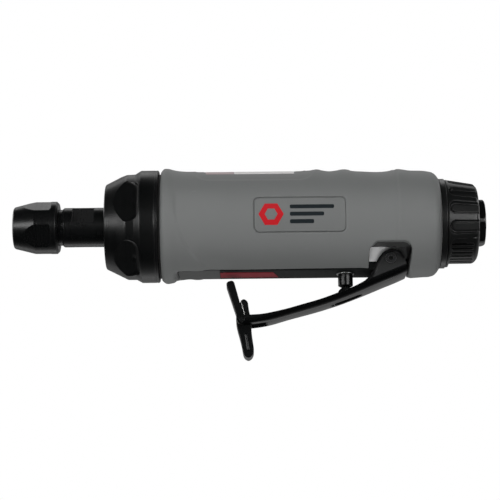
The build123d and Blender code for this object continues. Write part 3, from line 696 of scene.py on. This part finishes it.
def build_sleeve():
    stations = SLEEVE_FRONT + (SLEEVE_REAR - SLEEVE_FRONT) * np.linspace(0, 1, 250)
    stations = np.sort(np.concatenate([stations, EXTRA_STATIONS]))
    angles = np.linspace(0, 2 * math.pi, 380, endpoint=False)
    grid_x, grid_angle = np.meshgrid(stations, angles, indexing="ij")
    radius = sleeve_radius(grid_x, grid_angle)
    distance = opening_distance(grid_x, radius * np.sin(grid_angle), radius * np.cos(grid_angle))
    # roll the edges of the openings
    lip = lip_radius(grid_x)
    radius = radius - lip * rounded_drop(np.clip(1 - np.maximum(distance, 0) / lip, 0, 1))
    distance = distance.ravel()
    places = list(zip(grid_x.ravel(), grid_angle.ravel()))
    points = list(zip(grid_x.ravel(), (radius * np.sin(grid_angle)).ravel(),
                      (radius * np.cos(grid_angle)).ravel()))

    def add_cut(i, j):
        """Search along a grid edge for the rim of an opening."""
        t = distance[i] / (distance[i] - distance[j])
        (x0, a0), (x1, a1) = places[i], places[j]
        if a1 - a0 > math.pi:
            a0 += 2 * math.pi
        if a0 - a1 > math.pi:
            a1 += 2 * math.pi
        low, high = 0.0, 1.0
        for _ in range(14):
            x, angle = between((x0, a0), (x1, a1), t)
            rim = float(sleeve_radius(np.array([x]), np.array([angle]))[0])
            gap = float(opening_distance(*np.array([around(x, rim, angle)]).T)[0])
            if (gap > 0) == (distance[i] > 0):
                low = t
            else:
                high = t
            t = (low + high) / 2
            if abs(gap) < 0.004:
                break
        points.append(around(x, rim - float(lip_radius(x)), angle))
        places.append((x, angle))
        return len(points) - 1

    kept, cuts = clip_grid(distance, len(stations), len(angles), True, add_cut)
    new_number = numbering([face for _, face in kept])
    skin = [[new_number[v] for v in face] for _, face in kept]
    outer = [points[v] for v in new_number]
    rims = set(cuts.values())
    inner = []
    for v in new_number:
        x, angle = places[v]
        if v in rims:
            angle = bore_angle(angle, points[v][1], points[v][2], x)
        inner.append(around(min(x, BORE_END), SLEEVE_BORE, angle))
    count = len(outer)
    verts = outer + inner
    faces = skin + [[v + count for v in reversed(face)] for face in skin]

    # walls of the openings and the front face; the rear edge gets its own rim
    rear = {}
    for a, b in open_edges(dict.fromkeys(edges_of(skin))):
        if all(abs(outer[v][0] - stations[-1]) < 1e-6 for v in (a, b)):
            rear[a] = b
        else:
            faces.append([b, a, a + count, b + count])
    chains = {}
    for a in set(rear) | set(rear.values()):
        angle = math.atan2(outer[a][1], outer[a][2])
        first = len(verts)
        verts += [around(x, r, angle) for x, r in REAR_RIM]
        chains[a] = [a] + list(range(first, len(verts))) + [a + count]
    for a, b in rear.items():
        for k in range(len(REAR_RIM) + 1):
            faces.append([chains[b][k], chains[a][k], chains[a][k + 1], chains[b][k + 1]])
    add_piece("grip_sleeve_shell", verts, faces, "grey_composite", "grey_composite",
              angle=38, replaces="grip_sleeve")


def build_front_shoulder():
    """Dark ring seen in the gap in front of the sleeve."""
    outline = [(53.22, 17.7), (53.22, 18.9), (53.4, 19.1), (53.95, 19.1), (54.12, 18.9),
               (54.12, 17.7)]  # (x, radius)
    size, steps = len(outline), 180
    verts, faces = [], []
    for i in range(steps):
        verts += [around(x, r, 2 * math.pi * i / steps) for x, r in outline]
    for i in range(steps):
        j = (i + 1) % steps
        for k in range(size):
            n = (k + 1) % size
            faces.append([i * size + k, i * size + n, j * size + n, j * size + k])
    add_piece("sleeve_front_shoulder", verts, faces, "nitrile", "nitrile", angle=35)


build_sleeve()
build_front_shoulder()

# ---------------------------------------------------------------- exhaust deflector
# A cone with flutes, each with a raised pad, and a sector with slots facing down.
DEFLECTOR_FRONT, DEFLECTOR_REAR = 157.6, 169.05
DEFLECTOR_BORE = 12.8
BORE_REAR = 165.0  # the bore steps inwards here
FLUTES = [math.radians(27.0 * k) for k in range(-4, 5)]
VENTS = [math.radians(180.0 + 7.6 * k) for k in range(-6, 7)]
# (x, radius) down the cone, and over the slotted sector
CONE = [
    (157.6, 15.72), (157.72, 15.95), (157.95, 16.04), (159.0, 15.88), (163.0, 15.22),
    (167.5, 14.48), (167.95, 14.34), (168.4, 13.98), (168.8, 13.52), (169.0, 13.22),
    (169.05, 13.05)]
SECTOR = [
    (157.6, 14.8), (167.0, 14.76), (167.5, 14.7), (167.95, 14.45), (168.4, 14.05),
    (168.8, 13.55), (169.0, 13.22), (169.05, 13.05)]
# (x, radius) from the outer rear edge inwards to the step in the bore
REAR_STEPS = [(169.05, 12.4), (169.05, 10.95), (168.9, 10.75), (166.75, 10.75), (166.75, 9.57),
              (BORE_REAR, 9.57)]


def deflector_radius(x, angle):
    cone = linear(CONE, x)
    radius = cone.copy()
    for flute in FLUTES:
        turn = np.mod(angle - flute + math.pi, 2 * math.pi) - math.pi
        depth_in = 2.5 - np.hypot(np.maximum(160.55 - x, 0), 15.2 * turn)
        pad = (14.74 - (x - 159.0) * 0.1228) / np.cos(np.clip(turn, -0.4, 0.4))
        sunk, raised = ease(0.0, 0.42, depth_in), ease(0.72, 1.08, depth_in)
        floor_radius = cone * (1 - sunk) + (pad - 0.30) * sunk + 0.30 * raised
        near = (np.abs(turn) < 0.3) & (depth_in > 0)
        radius = np.where(near, np.minimum(cone, floor_radius), radius)
    turned = np.mod(angle, 2 * math.pi)
    sector = box_distance(x, 15.0 * (turned - math.pi), 167.2, 0,
                          half_u=8.85, half_v=14.66, corner=2.2)
    weight = ease(0.0, 0.35, -sector)
    radius = radius * (1 - weight) + linear(SECTOR, x) * weight
    for vent in VENTS:  # groove along each slot
        reach = np.maximum(np.abs(x - 162.9) - 3.6, 0)
        depth_in = 0.5 - np.hypot(reach, 14.6 * (turned - vent))
        radius = radius - 0.95 * ease(0.0, 0.24, depth_in)
    return radius


def vent_distance(x, angle):
    """Distance to the nearest slot cut through the wall."""
    turned = np.mod(angle, 2 * math.pi)
    distance = np.full(np.shape(x), FAR)
    for vent in VENTS:
        reach = np.maximum(np.abs(x - 162.3) - 2.1, 0)
        distance = np.minimum(distance, np.hypot(reach, 13.7 * (turned - vent)) - 0.31)
    return distance


def build_deflector():
    stations = np.unique(np.round(np.concatenate([
        [DEFLECTOR_FRONT, 157.66, 157.72, 157.82, 157.95], np.linspace(158.05, 161.5, 32),
        np.linspace(161.5, BORE_REAR, 12), np.linspace(BORE_REAR, 167.0, 7),
        np.linspace(167.0, DEFLECTOR_REAR, 14)]), 4))
    angles = np.radians(np.concatenate([np.arange(-124, 124, 0.8), np.arange(124, 236, 0.6)]))
    bore_row = int(np.argmin(np.abs(stations - BORE_REAR)))
    columns = len(angles)
    grid_x, grid_angle = np.meshgrid(stations, angles, indexing="ij")
    radius = deflector_radius(grid_x, grid_angle)
    distance = vent_distance(grid_x, grid_angle).ravel()
    points = list(zip(grid_x.ravel(), radius.ravel(), grid_angle.ravel()))

    def add_cut(i, j):
        t = distance[i] / (distance[i] - distance[j])
        points.append(between(points[i], points[j], t))
        return len(points) - 1

    kept, _ = clip_grid(distance, len(stations), columns, True, add_cut)
    outer = [face for _, face in kept]
    inner = [face for row, face in kept if row < bore_row]
    outer_number = numbering(outer)
    inner_number = numbering(inner, start=len(outer_number))
    verts = [around(*points[v]) for v in outer_number]
    verts += [around(points[v][0], DEFLECTOR_BORE, points[v][2]) for v in inner_number]
    faces = [[outer_number[v] for v in face] for face in outer]
    faces += [[inner_number[v] for v in reversed(face)] for face in inner]
    for a, b in open_edges(set(edges_of(outer))):
        if points[a][0] > 168.9 and points[b][0] > 168.9:
            continue
        faces.append([outer_number[b], outer_number[a], inner_number[a], inner_number[b]])

    # rear face and steps back to the bore
    rows = [[outer_number[(len(stations) - 1) * columns + j] for j in range(columns)]]
    for x, r in REAR_STEPS:
        rows.append(list(range(len(verts), len(verts) + columns)))
        verts += [around(x, r, angle) for angle in angles]
    rows.append([inner_number[bore_row * columns + j] for j in range(columns)])
    for row, following in zip(rows, rows[1:]):
        for j in range(columns):
            k = (j + 1) % columns
            faces.append([row[j], row[k], following[k], following[j]])
    add_piece("deflector_shell", verts, faces, "deflector_moulding", slot_of["exhaust_deflector"],
              angle=50, body="deflector", replaces="exhaust_deflector")


build_deflector()


# ---------------------------------------------------------------- patches that lie on the sleeve
def add_patch(name, mat, slot, inside, x_span, angle_span, steps, lift, thick, taper,
              replaces=None):
    """Closed thin piece following the sleeve, its edge rounded over the width taper.

    inside(x, angle, radius) is the distance in from the outline, positive inside.
    """
    grid_x, grid_angle = np.meshgrid(np.linspace(*x_span, steps[0]),
                                     np.linspace(*angle_span, steps[1]), indexing="ij")
    radius = sleeve_radius(grid_x, grid_angle, with_badge=False)
    distance = inside(grid_x, grid_angle, radius).ravel()
    base = list(zip(grid_x.ravel(), radius.ravel(), grid_angle.ravel()))
    edge_drop = min(taper, thick * 0.8)
    points = []
    for (x, r, angle), depth in zip(base, distance):
        t = 1 - min(1.0, max(0.0, depth) / taper)
        points.append((x, r + lift - (1 - math.sqrt(max(0, 1 - t**2))) * edge_drop, angle))

    def add_cut(i, j):
        t = distance[i] / (distance[i] - distance[j])
        x, r, angle = between(base[i], base[j], t)
        points.append((x, r + lift - edge_drop, angle))
        return len(points) - 1

    kept, _ = clip_grid(distance, steps[0], steps[1], False, add_cut)
    new_number = numbering([face for _, face in kept])
    skin = [[new_number[v] for v in face] for _, face in kept]
    top = [points[v] for v in new_number]
    count = len(top)
    faces = skin + [[v + count for v in reversed(face)] for face in skin]
    faces += [[b, a, a + count, b + count] for a, b in open_edges(set(edges_of(skin)))]
    verts = [around(*p) for p in top] + [around(x, r - thick, angle) for x, r, angle in top]
    add_piece(name, verts, faces, mat, slot, angle=40, replaces=replaces)


# wrap label: pale field behind, tinted band in front of it, and dark rules on the field
LABEL_RADIUS = 19.4
LABEL_HALF_WIDTH = 10.5
# rules: x start, length, half thickness, place across the label
RULES = [
    (84.0, 5.2, 0.5, -2.4), (84.0, 3.8, 0.3, -0.6), (92.0, 7.5, 0.3, 4.8),
    (92.0, 7.5, 0.3, 2.4), (92.0, 5.0, 0.3, 0.0), (92.0, 6.8, 0.3, -2.4)]


def add_label(name, mat, box, **values):
    """box is the outline as mid x, mid arc, half length, half width and corner radius."""
    add_patch(name, mat, "label_film",
              lambda x, angle, radius: -box_distance(x, angle * LABEL_RADIUS, *box), **values)


def build_label():
    for name, mat, start, end, x_span, steps_x, replaces in (
            ("wrap_label_field", "label_film", 80.75, 102.6, (80.0, 103.2), 90, "top_label"),
            ("wrap_label_band", "label_tint", 70.4, 80.7, (69.8, 81.3), 44, None)):
        add_label(name, mat, ((start + end) / 2, 0, (end - start) / 2, LABEL_HALF_WIDTH, 0.5),
                  x_span=x_span, angle_span=(-0.60, 0.60), steps=(steps_x, 80),
                  lift=0.07, thick=0.12, taper=0.06, replaces=replaces)
    margin = 0.3  # grid beyond the rule's outline
    for i, (start, length, half, place) in enumerate(RULES):
        add_label(f"wrap_label_rule_{i}", "mark_dark",
                  (start + length / 2, place, length / 2, half, 0.15),
                  x_span=(start - margin, start + length + margin),
                  angle_span=((place - half - margin) / LABEL_RADIUS,
                              (place + half + margin) / LABEL_RADIUS),
                  steps=(24, 10), lift=0.09, thick=0.03, taper=0.01)


# side badge: inlaid panel with a hexagon and three stripes
COS_30 = 0.8660254
HEXAGON_X = BADGE_X - 10.3
STRIPE_START = -3.6  # from the badge's middle
STRIPES = [(2.7, 12.2), (0.0, 8.6), (-2.7, 5.0)]  # z and x end, from the badge's middle


def panel_inside(x, angle, radius):
    return -box_distance(x, radius * np.cos(angle), BADGE_X, BADGE_Z, BADGE_LENGTH / 2,
                         BADGE_HEIGHT / 2, BADGE_CORNER)


def hexagon_distance(x, z, size):
    x, z = np.abs(x - HEXAGON_X), np.abs(z - BADGE_Z)
    return np.maximum(x * COS_30 + z * 0.5, z) - size


def hexagon_inside(x, angle, radius):
    z = radius * np.cos(angle)
    return -np.maximum(hexagon_distance(x, z, 3.9), -hexagon_distance(x, z, 2.0))


def stripes_inside(x, angle, radius):
    z = radius * np.cos(angle)
    distance = np.full(x.shape, FAR)
    for place, end in STRIPES:
        stripe = box_distance(x, z, BADGE_X + (STRIPE_START + end) / 2, BADGE_Z + place,
                              (end - STRIPE_START) / 2, half_v=0.72, corner=0.5)
        distance = np.minimum(distance, stripe)
    return -distance


def build_badge():
    angle_span = (-math.pi / 2 - 0.42, -math.pi / 2 + 0.42)
    front, rear = BADGE_X - BADGE_LENGTH / 2, BADGE_X + BADGE_LENGTH / 2
    add_patch("side_badge_panel", "badge_print", "badge_print", panel_inside,
              x_span=(front - 0.5, rear + 0.5), angle_span=angle_span, steps=(130, 70),
              lift=-0.02, thick=0.55, taper=0.22, replaces="side_badge")
    for name, mat, inside in (("side_badge_hexagon", "mark_red", hexagon_inside),
                              ("side_badge_stripes", "mark_dark", stripes_inside)):
        add_patch(name, mat, "badge_print", inside, x_span=(front, rear),
                  angle_span=angle_span, steps=(320, 160), lift=0.03, thick=0.06, taper=0.02)


build_label()
build_badge()

# ---------------------------------------------------------------- lever: pressed channel
LEVER_PIN = (137.0, -14.6)  # (x, z)
LOCK_PIN = (83.0, -36.0)
CROWN = 0.75   # rise of the underside at the edges
WALL = 1.5     # sheet thickness at the sides
EAR_Y = 9.0    # outer face of the ears
# (x, z) outlines seen from the side
UNDERSIDE = [
    (82.3, -38.0), (86.2, -37.8), (91.75, -37.05), (100.9, -34.6), (111.9, -31.6),
    (119.3, -29.2), (126.6, -26.4), (134.0, -23.35), (141.3, -20.35), (142.9, -19.6)]
REAR_END = [(142.9, -18.2), (142.65, -17.2), (142.35, -15.8)]
EAR = [(142.0, -14.6), (140.5, -12.4), (137.6, -11.25), (134.5, -12.5), (131.9, -15.8),
       (130.4, -19.4)]
UPPER_EDGE = [
    (130.4, -19.4), (128.6, -21.9), (125.0, -24.1), (119.2, -26.4), (111.9, -29.0),
    (104.5, -31.05), (97.2, -32.95), (90.0, -34.3), (86.0, -34.5)]
TIP = [(86.0, -34.5), (83.4, -34.45), (81.6, -35.3), (81.35, -36.4), (82.3, -37.65)]
EAR_FOOT = [(130.4, -19.4), (129.3, -21.1), (127.7, -22.6)]
# (x, y) outline of the notch at the tip
NOTCH = [
    (70, -5.16), (85.9, -5.16), (86.6, -4.6), (86.9, -4.15), (91.6, -4.15), (92.4, -3.3),
    (92.4, 3.3), (91.6, 4.15), (86.9, 4.15), (86.6, 4.6), (85.9, 5.16), (70, 5.16)]


def prism(name, outline, low, high, axis="y"):
    """Closed prism: an (x, z) outline drawn out along y, or an (x, y) one along z."""
    n = len(outline)
    if axis == "y":
        verts = [(a, end, b) for end in (low, high) for a, b in outline]
    else:
        verts = [(a, b, end) for end in (low, high) for a, b in outline]
    faces = [list(range(n)), list(range(2 * n - 1, n - 1, -1))]
    faces += [[i, i + n, (i + 1) % n + n, (i + 1) % n] for i in range(n)]
    return bare_object(name, verts, faces)


def combine(ob, tool, operation):
    """Apply a boolean to the object and remove the tool."""
    modifier = ob.modifiers.new("b", "BOOLEAN")
    modifier.operation, modifier.object, modifier.solver = operation, tool, "EXACT"
    depsgraph = bpy.context.evaluated_depsgraph_get()
    result = data.meshes.new_from_object(ob.evaluated_get(depsgraph))
    ob.modifiers.remove(modifier)
    old, tool_mesh = ob.data, tool.data
    ob.data = result
    data.meshes.remove(old)
    data.objects.remove(tool)
    data.meshes.remove(tool_mesh)


def arc_points(middle, radius, angles):
    return [(middle[0] + radius * math.cos(q), middle[1] + radius * math.sin(q)) for q in angles]


def circle(middle, radius, steps):
    return arc_points(middle, radius, [2 * math.pi * k / steps for k in range(steps)])


def channel_section(x, underside):
    """Outer and inner (y, z) lines of the U-shaped section at a station."""
    half = float(np.interp(x, [69, 81, 128, 151], [6.2, 6.75, EAR_Y, EAR_Y]))
    base = float(linear(underside, x))
    bend = float(1.7 + 1.9 * ease(88.0, 100.0, x) - 0.6 * ease(124.0, 132.0, x))
    inner_bend = max(bend - WALL, 0.2)
    web = WALL * 1.08
    outer, inner = [(-half, -6.0)], [(-half + WALL, -6.0)]
    for k in range(9):
        q = math.pi + math.pi / 2 * k / 8
        y = -half + bend + bend * math.cos(q)
        outer.append((y, base + CROWN * (y / half) ** 2 + bend + bend * math.sin(q)))
        y = -half + WALL + inner_bend + inner_bend * math.cos(q)
        z = base + CROWN * (y / half) ** 2 + web + inner_bend + inner_bend * math.sin(q)
        inner.append((y, z))
    outer_y, inner_y = outer[-1][0], inner[-1][0]
    for k in (0.75, 0.5, 0.25, 0.08):
        outer.append((outer_y * k, base + CROWN * (outer_y * k / half) ** 2))
        inner.append((inner_y * k, base + CROWN * (inner_y * k / half) ** 2 + web))
    outer += [(-y, z) for y, z in reversed(outer)]
    inner += [(-y, z) for y, z in reversed(inner)]
    return outer, inner


def build_channel(under):
    """Open channel with rolled bends, longer and taller than the lever."""
    underside = ([(70.0, -38.5), (78.0, -38.3)] + [tuple(p) for p in under]
                 + [(146.0, -18.2), (151.0, -16.0)])
    stations = np.concatenate([np.linspace(70, 96, 30), np.linspace(97, 150, 54)])
    verts = []
    for x in stations:
        outer, inner = channel_section(x, underside)
        verts += [(x, y, z) for y, z in outer + inner]
    return bare_object("lever_channel", verts, two_skin_faces(len(stations), len(outer)))


def ear_rim_outline(ear):
    """Narrow band along the edge of an ear, carried down its foot."""
    line = np.concatenate([ear, spline(EAR_FOOT)[1:]])
    tangent = np.gradient(line, axis=0)
    tangent /= np.hypot(*tangent.T)[:, None]
    normal = np.stack([-tangent[:, 1], tangent[:, 0]], 1)
    count = len(line)
    width = np.interp(np.arange(count), [0, count * 0.25, count * 0.8, count],
                      [0.75, 1.0, 1.05, 0.9])
    far_side = line + normal * width[:, None]
    near_side = line - normal * 0.02
    return [tuple(p) for p in near_side] + [tuple(p) for p in far_side[::-1]]


def build_lever():
    under, ear = spline(UNDERSIDE), spline(EAR)
    outline = [tuple(p) for p in [*under, *REAR_END, *ear, *spline(UPPER_EDGE)[1:],
                                  *spline(TIP)[1:-1]]]
    lever = prism("lever", outline, -12, 12)
    combine(lever, build_channel(under), "INTERSECT")

    arch = [(123.9, -26.04), (123.9, -27.0), (117.9, -29.1), (117.9, -26.04)]
    arch += arc_points((120.9, -27.15), 3.2, np.linspace(math.pi - 0.35, 0.35, 16))
    combine(lever, prism("arch", arch, -3.5, 3.5), "UNION")
    slot = arc_points((117.8, 0), 2.7, np.linspace(math.pi / 2, 1.5 * math.pi, 14))
    slot += arc_points((124.2, 0), 2.7, np.linspace(-math.pi / 2, math.pi / 2, 14))
    combine(lever, prism("slot", slot, -34.0, -25.5, "z"), "DIFFERENCE")
    combine(lever, prism("fork", NOTCH, -42.0, -30.0, "z"), "DIFFERENCE")
    rim = ear_rim_outline(ear)
    for low, high in ((-9.24, -8.7), (8.7, 9.24)):
        combine(lever, prism("rim", rim, low, high), "UNION")
    combine(lever, prism("hole", circle(LEVER_PIN, 1.97, 40), -12, 12), "DIFFERENCE")
    combine(lever, prism("hole2", circle(LOCK_PIN, 1.02, 28), -12, 12), "DIFFERENCE")

    lever.name = lever.data.name = "lever_pressing"
    lever.data.materials.clear()
    lever.data.materials.append(MAT["black_painted_steel"])
    lever.data.materials.append(MAT["ear_face_steel"])
    # flat outer ear faces get the lighter paint: a painted sheen
    for face in lever.data.polygons:
        middle = face.center
        flat = abs(face.normal.y) > 0.99 and abs(abs(middle.y) - EAR_Y * MM) < 0.05 * MM
        face.material_index = 1 if flat and middle.x > 129 * MM else 0
    smooth_shading(lever, angle=28)
    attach(lever, "lever")
    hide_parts("throttle_lever")


def build_lock_rib(name, y):
    """Raised rib with rounded ends on one flat side of the safety lock."""
    start, end = np.array((84.35, -40.6)), np.array((85.35, -47.2))  # (x, z)
    width, height, sunk = 1.1, 0.28, 0.3
    steps_along, steps_across = 25, 9
    length = np.hypot(*(end - start))
    along = (end - start) / length
    across = np.array([-along[1], along[0]])
    taper = width / length
    verts = []
    for i in range(steps_along):
        place = -1 + 2 * i / (steps_along - 1)
        past = max(0.0, (abs(place) - (1 - taper)) / taper)
        cap = max(math.sqrt(max(0.0, 1 - past**2)), 0.02)
        raised, buried = [], []
        for j in range(steps_across):
            q = math.pi * j / (steps_across - 1)
            x, z = (start + along * (length * (place + 1) / 2)
                    + across * (width / 2 * cap * math.cos(q)))
            raised.append((x, y + math.copysign(height * cap * math.sin(q), y), z))
            buried.append((x, y - math.copysign(sunk, y), z))
        verts += raised + buried
    add_piece(name, verts, two_skin_faces(steps_along, steps_across), "black_painted_steel",
              "black_painted_steel", angle=60, body="lock")


build_lever()
build_lock_rib("safety_lock_rib_near", y=-3.6)
build_lock_rib("safety_lock_rib_far", y=3.6)


# ---------------------------------------------------------------- springs
def add_wire(name, path, radius, coil_axis, replaces, sides=14):
    """Round wire swept along a path, with slightly rounded cut ends."""
    n = len(path)
    coil_axis = np.array(coil_axis, float)
    verts, faces = [], []
    for i, point in enumerate(path):
        tangent = path[min(i + 1, n - 1)] - path[max(i - 1, 0)]
        tangent /= np.linalg.norm(tangent)
        first = coil_axis - tangent * (tangent @ coil_axis)
        first /= np.linalg.norm(first)
        second = np.cross(tangent, first)
        r = radius * (0.72 if i in (0, n - 1) else 1.0)
        for k in range(sides):
            q = 2 * math.pi * k / sides
            verts.append(point + r * (math.cos(q) * first + math.sin(q) * second))
    for i in range(n - 1):
        for k in range(sides):
            j = (k + 1) % sides
            faces.append([i * sides + k, i * sides + j, (i + 1) * sides + j, (i + 1) * sides + k])
    faces.append(list(range(sides - 1, -1, -1)))
    faces.append([(n - 1) * sides + k for k in range(sides)])
    return add_piece(name, verts, faces, "spring_steel", "spring_steel", angle=50, body=None,
                     replaces=replaces)


def build_lock_spring():
    """Coil round the lock pin, between the lever and the lock."""
    pin_x, pin_z = LOCK_PIN
    coil_radius, pitch = 1.5, 0.44
    start_y, end_y = -4.84, -4.05
    turns = (end_y - start_y) / pitch
    coil = []
    for t in np.linspace(0, 1, 110):
        q = 2 * math.pi * turns * t
        coil.append(np.array([pin_x - coil_radius * math.sin(q), start_y + (end_y - start_y) * t,
                              pin_z + coil_radius * math.cos(q)]))
    # straight legs, as distances from the coil's ends
    start_way = (coil[1] - coil[0]) / np.linalg.norm(coil[1] - coil[0])
    end_way = (coil[-1] - coil[-2]) / np.linalg.norm(coil[-1] - coil[-2])
    first_leg = [coil[0] - start_way * k for k in (6.0, 5.95, 4.0, 2.0, 0.8, 0.3)]
    last_leg = [coil[-1] + end_way * k for k in (0.3, 0.8, 2.0, 4.0, 6.0, 7.05, 7.1)]
    ob = add_wire("lock_spring_wire", first_leg + coil + last_leg, radius=0.19,
                  coil_axis=(0, 1, 0), replaces="lock_spring")
    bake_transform(ob)


def build_valve_spring():
    """Closing spring with closed end coils, between the inlet behind and the tilting head."""
    rear_x, coil_radius, length = 145.55, 3.95, 8.6
    turns, closed_pitch = 5.6, 0.68
    open_length = length - 2 * closed_pitch
    closed_part = 1.0 / turns
    path = []
    for t in np.linspace(0, 1, 200):
        q = 2 * math.pi * turns * t
        if t < closed_part:
            advance = closed_pitch * turns * t
        elif t < 1 - closed_part:
            advance = closed_pitch + (t - closed_part) * turns * open_length / (turns - 2)
        else:
            advance = length - closed_pitch * turns * (1 - t)
        path.append(np.array(around(rear_x - advance, coil_radius, q)))
    ob = add_wire("valve_spring_coil", path, radius=0.32, coil_axis=(1, 0, 0),
                  replaces="valve_spring")
    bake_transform(ob)


build_lock_spring()
build_valve_spring()

# ---------------------------------------------------------------- finishes of the CAD pieces
own_finish = {"lever_pin": MAT["pin_steel"], "inlet_bushing": MAT["inlet_steel"],
              "motor_housing": housing_metal()}
for name, ob in nodes.items():
    if ob.hide_render and name not in own_finish:
        continue
    material = own_finish.get(name) or MAT[slot_of[name]]
    ob.data.materials.clear()
    ob.data.materials.append(material)


# ---------------------------------------------------------------- stage
def floor_material():
    """Pale, faintly glowing floor that is clear from below."""
    mat = Shader("studio_floor")
    color = mat.mix(mat.noise(scale=3.0, detail=4), (0.80, 0.80, 0.80), (0.84, 0.84, 0.84))
    mat.finish(color=color, rough=0.7, glow=(1, 1, 1), glow_strength=0.62)
    backfacing = mat.node("ShaderNodeNewGeometry").outputs["Backfacing"]
    clear = mat.node("ShaderNodeBsdfTransparent").outputs["BSDF"]
    inputs = {"Fac": backfacing, 1: mat.principled.outputs["BSDF"], 2: clear}
    mixed = mat.node("ShaderNodeMixShader", inputs).outputs["Shader"]
    mat.feed(mat.output.inputs["Surface"], mixed)
    return mat.material


def build_floor():
    material = floor_material()
    mesh = data.meshes.new("studio_floor")
    bm = bmesh.new()
    bmesh.ops.create_grid(bm, x_segments=8, y_segments=8, size=4.0)
    bm.to_mesh(mesh)
    bm.free()
    floor = new_object("studio_floor", mesh)
    floor.location = (0.08, 0.0, -0.32)
    mesh.materials.append(material)
    floor.visible_glossy = floor.visible_diffuse = floor.visible_shadow = False


def build_world():
    """White for the camera; for light and reflections dim, and brighter towards +Y."""
    world = data.worlds.new("studio")
    scene.world = world
    world.use_nodes = True
    graph = Graph(world.node_tree)
    direction = graph.node("ShaderNodeTexCoord").outputs["Generated"]
    back = graph.step(graph.axes(direction)["Y"], start=0.05, end=0.75)
    light = graph.spread(back, span=0.30, low=0.012)
    camera_ray = graph.node("ShaderNodeLightPath").outputs["Is Camera Ray"]
    seen_by_camera = 1.0
    strength = graph.node("ShaderNodeMix", {0: camera_ray, 2: light, 3: seen_by_camera},
                          data_type="FLOAT").outputs[0]
    background = graph.node("ShaderNodeBackground", {"Strength": strength, "Color": (1, 1, 1)})
    graph.node("ShaderNodeOutputWorld", {"Surface": background.outputs["Background"]})


# area lights: name, location, width, height, watts, lights surfaces, shows in reflections
LIGHTS = [
    ("soft_left", (-0.73, -0.94, 0.07), 0.80, 0.34, 5.0, False, True),
    ("soft_right", (0.88, -0.95, 0.12), 0.75, 0.34, 5.4, False, True),
    ("soft_front", (-0.06, -1.02, 0.82), 1.3, 0.8, 12.8, True, False),
    ("soft_low", (0.06, -0.80, -0.80), 1.1, 0.8, 8.6, True, False),
    ("soft_back", (0.08, 1.10, 0.35), 1.3, 0.8, 7.0, True, False),
    ("end_front", (-0.95, 0.42, 0.30), 0.7, 0.6, 4.2, True, True),
    ("end_rear", (1.12, 0.42, 0.34), 0.7, 0.6, 3.0, True, True),
    ("rim_top", (0.08, 0.45, 0.75), 0.9, 0.35, 0.95, True, True),
    ("rim_under", (0.08, 0.60, -0.55), 0.9, 0.25, 0.5, True, True)]
LIGHT_TARGET = (0.086, 0, -0.005)


def build_lights():
    for name, location, width, height, power, diffuse, glossy in LIGHTS:
        light = data.lights.new(name, "AREA")
        light.shape = "RECTANGLE"
        light.size, light.size_y = width, height
        light.energy = power
        ob = new_object(name, light)
        ob.location = location
        way = Vector(LIGHT_TARGET) - Vector(location)
        ob.rotation_euler = way.to_track_quat("-Z", "Y").to_euler()
        ob.visible_glossy = glossy
        ob.visible_diffuse = diffuse
        ob.visible_camera = False


def build_camera():
    """Camera on the -Y side, looking along +Y and slightly up."""
    elevation, roll = math.radians(-13.0), math.radians(-0.62)
    distance, field_width = 0.66, 0.1835  # to the target, and the width seen there
    middle_x, target_drop = 0.086245, 0.0088814
    forward = Vector((0, math.cos(elevation), -math.sin(elevation)))
    level_up = Vector((0, math.sin(elevation), math.cos(elevation)))
    level_right = Vector((1, 0, 0))
    target = Vector((middle_x, 0, 0)) - level_up * target_drop
    settings = data.cameras.new("camera")
    settings.sensor_width = 36.0
    settings.lens = 36.0 * distance / field_width
    settings.clip_start, settings.clip_end = 0.01, 50
    camera = new_object("camera", settings)
    right = level_right * math.cos(roll) + level_up * math.sin(roll)
    up = level_up * math.cos(roll) - level_right * math.sin(roll)
    rotation = Matrix((right, up, -forward)).transposed()
    camera.matrix_world = Matrix.Translation(target - forward * distance) @ rotation.to_4x4()
    scene.camera = camera


build_floor()
build_world()
build_lights()
build_camera()
scene.view_settings.view_transform = "Standard"
scene.view_settings.look = "None"
scene.view_settings.exposure = 0.0
scene.view_settings.gamma = 1.0

bpy.context.view_layer.update()
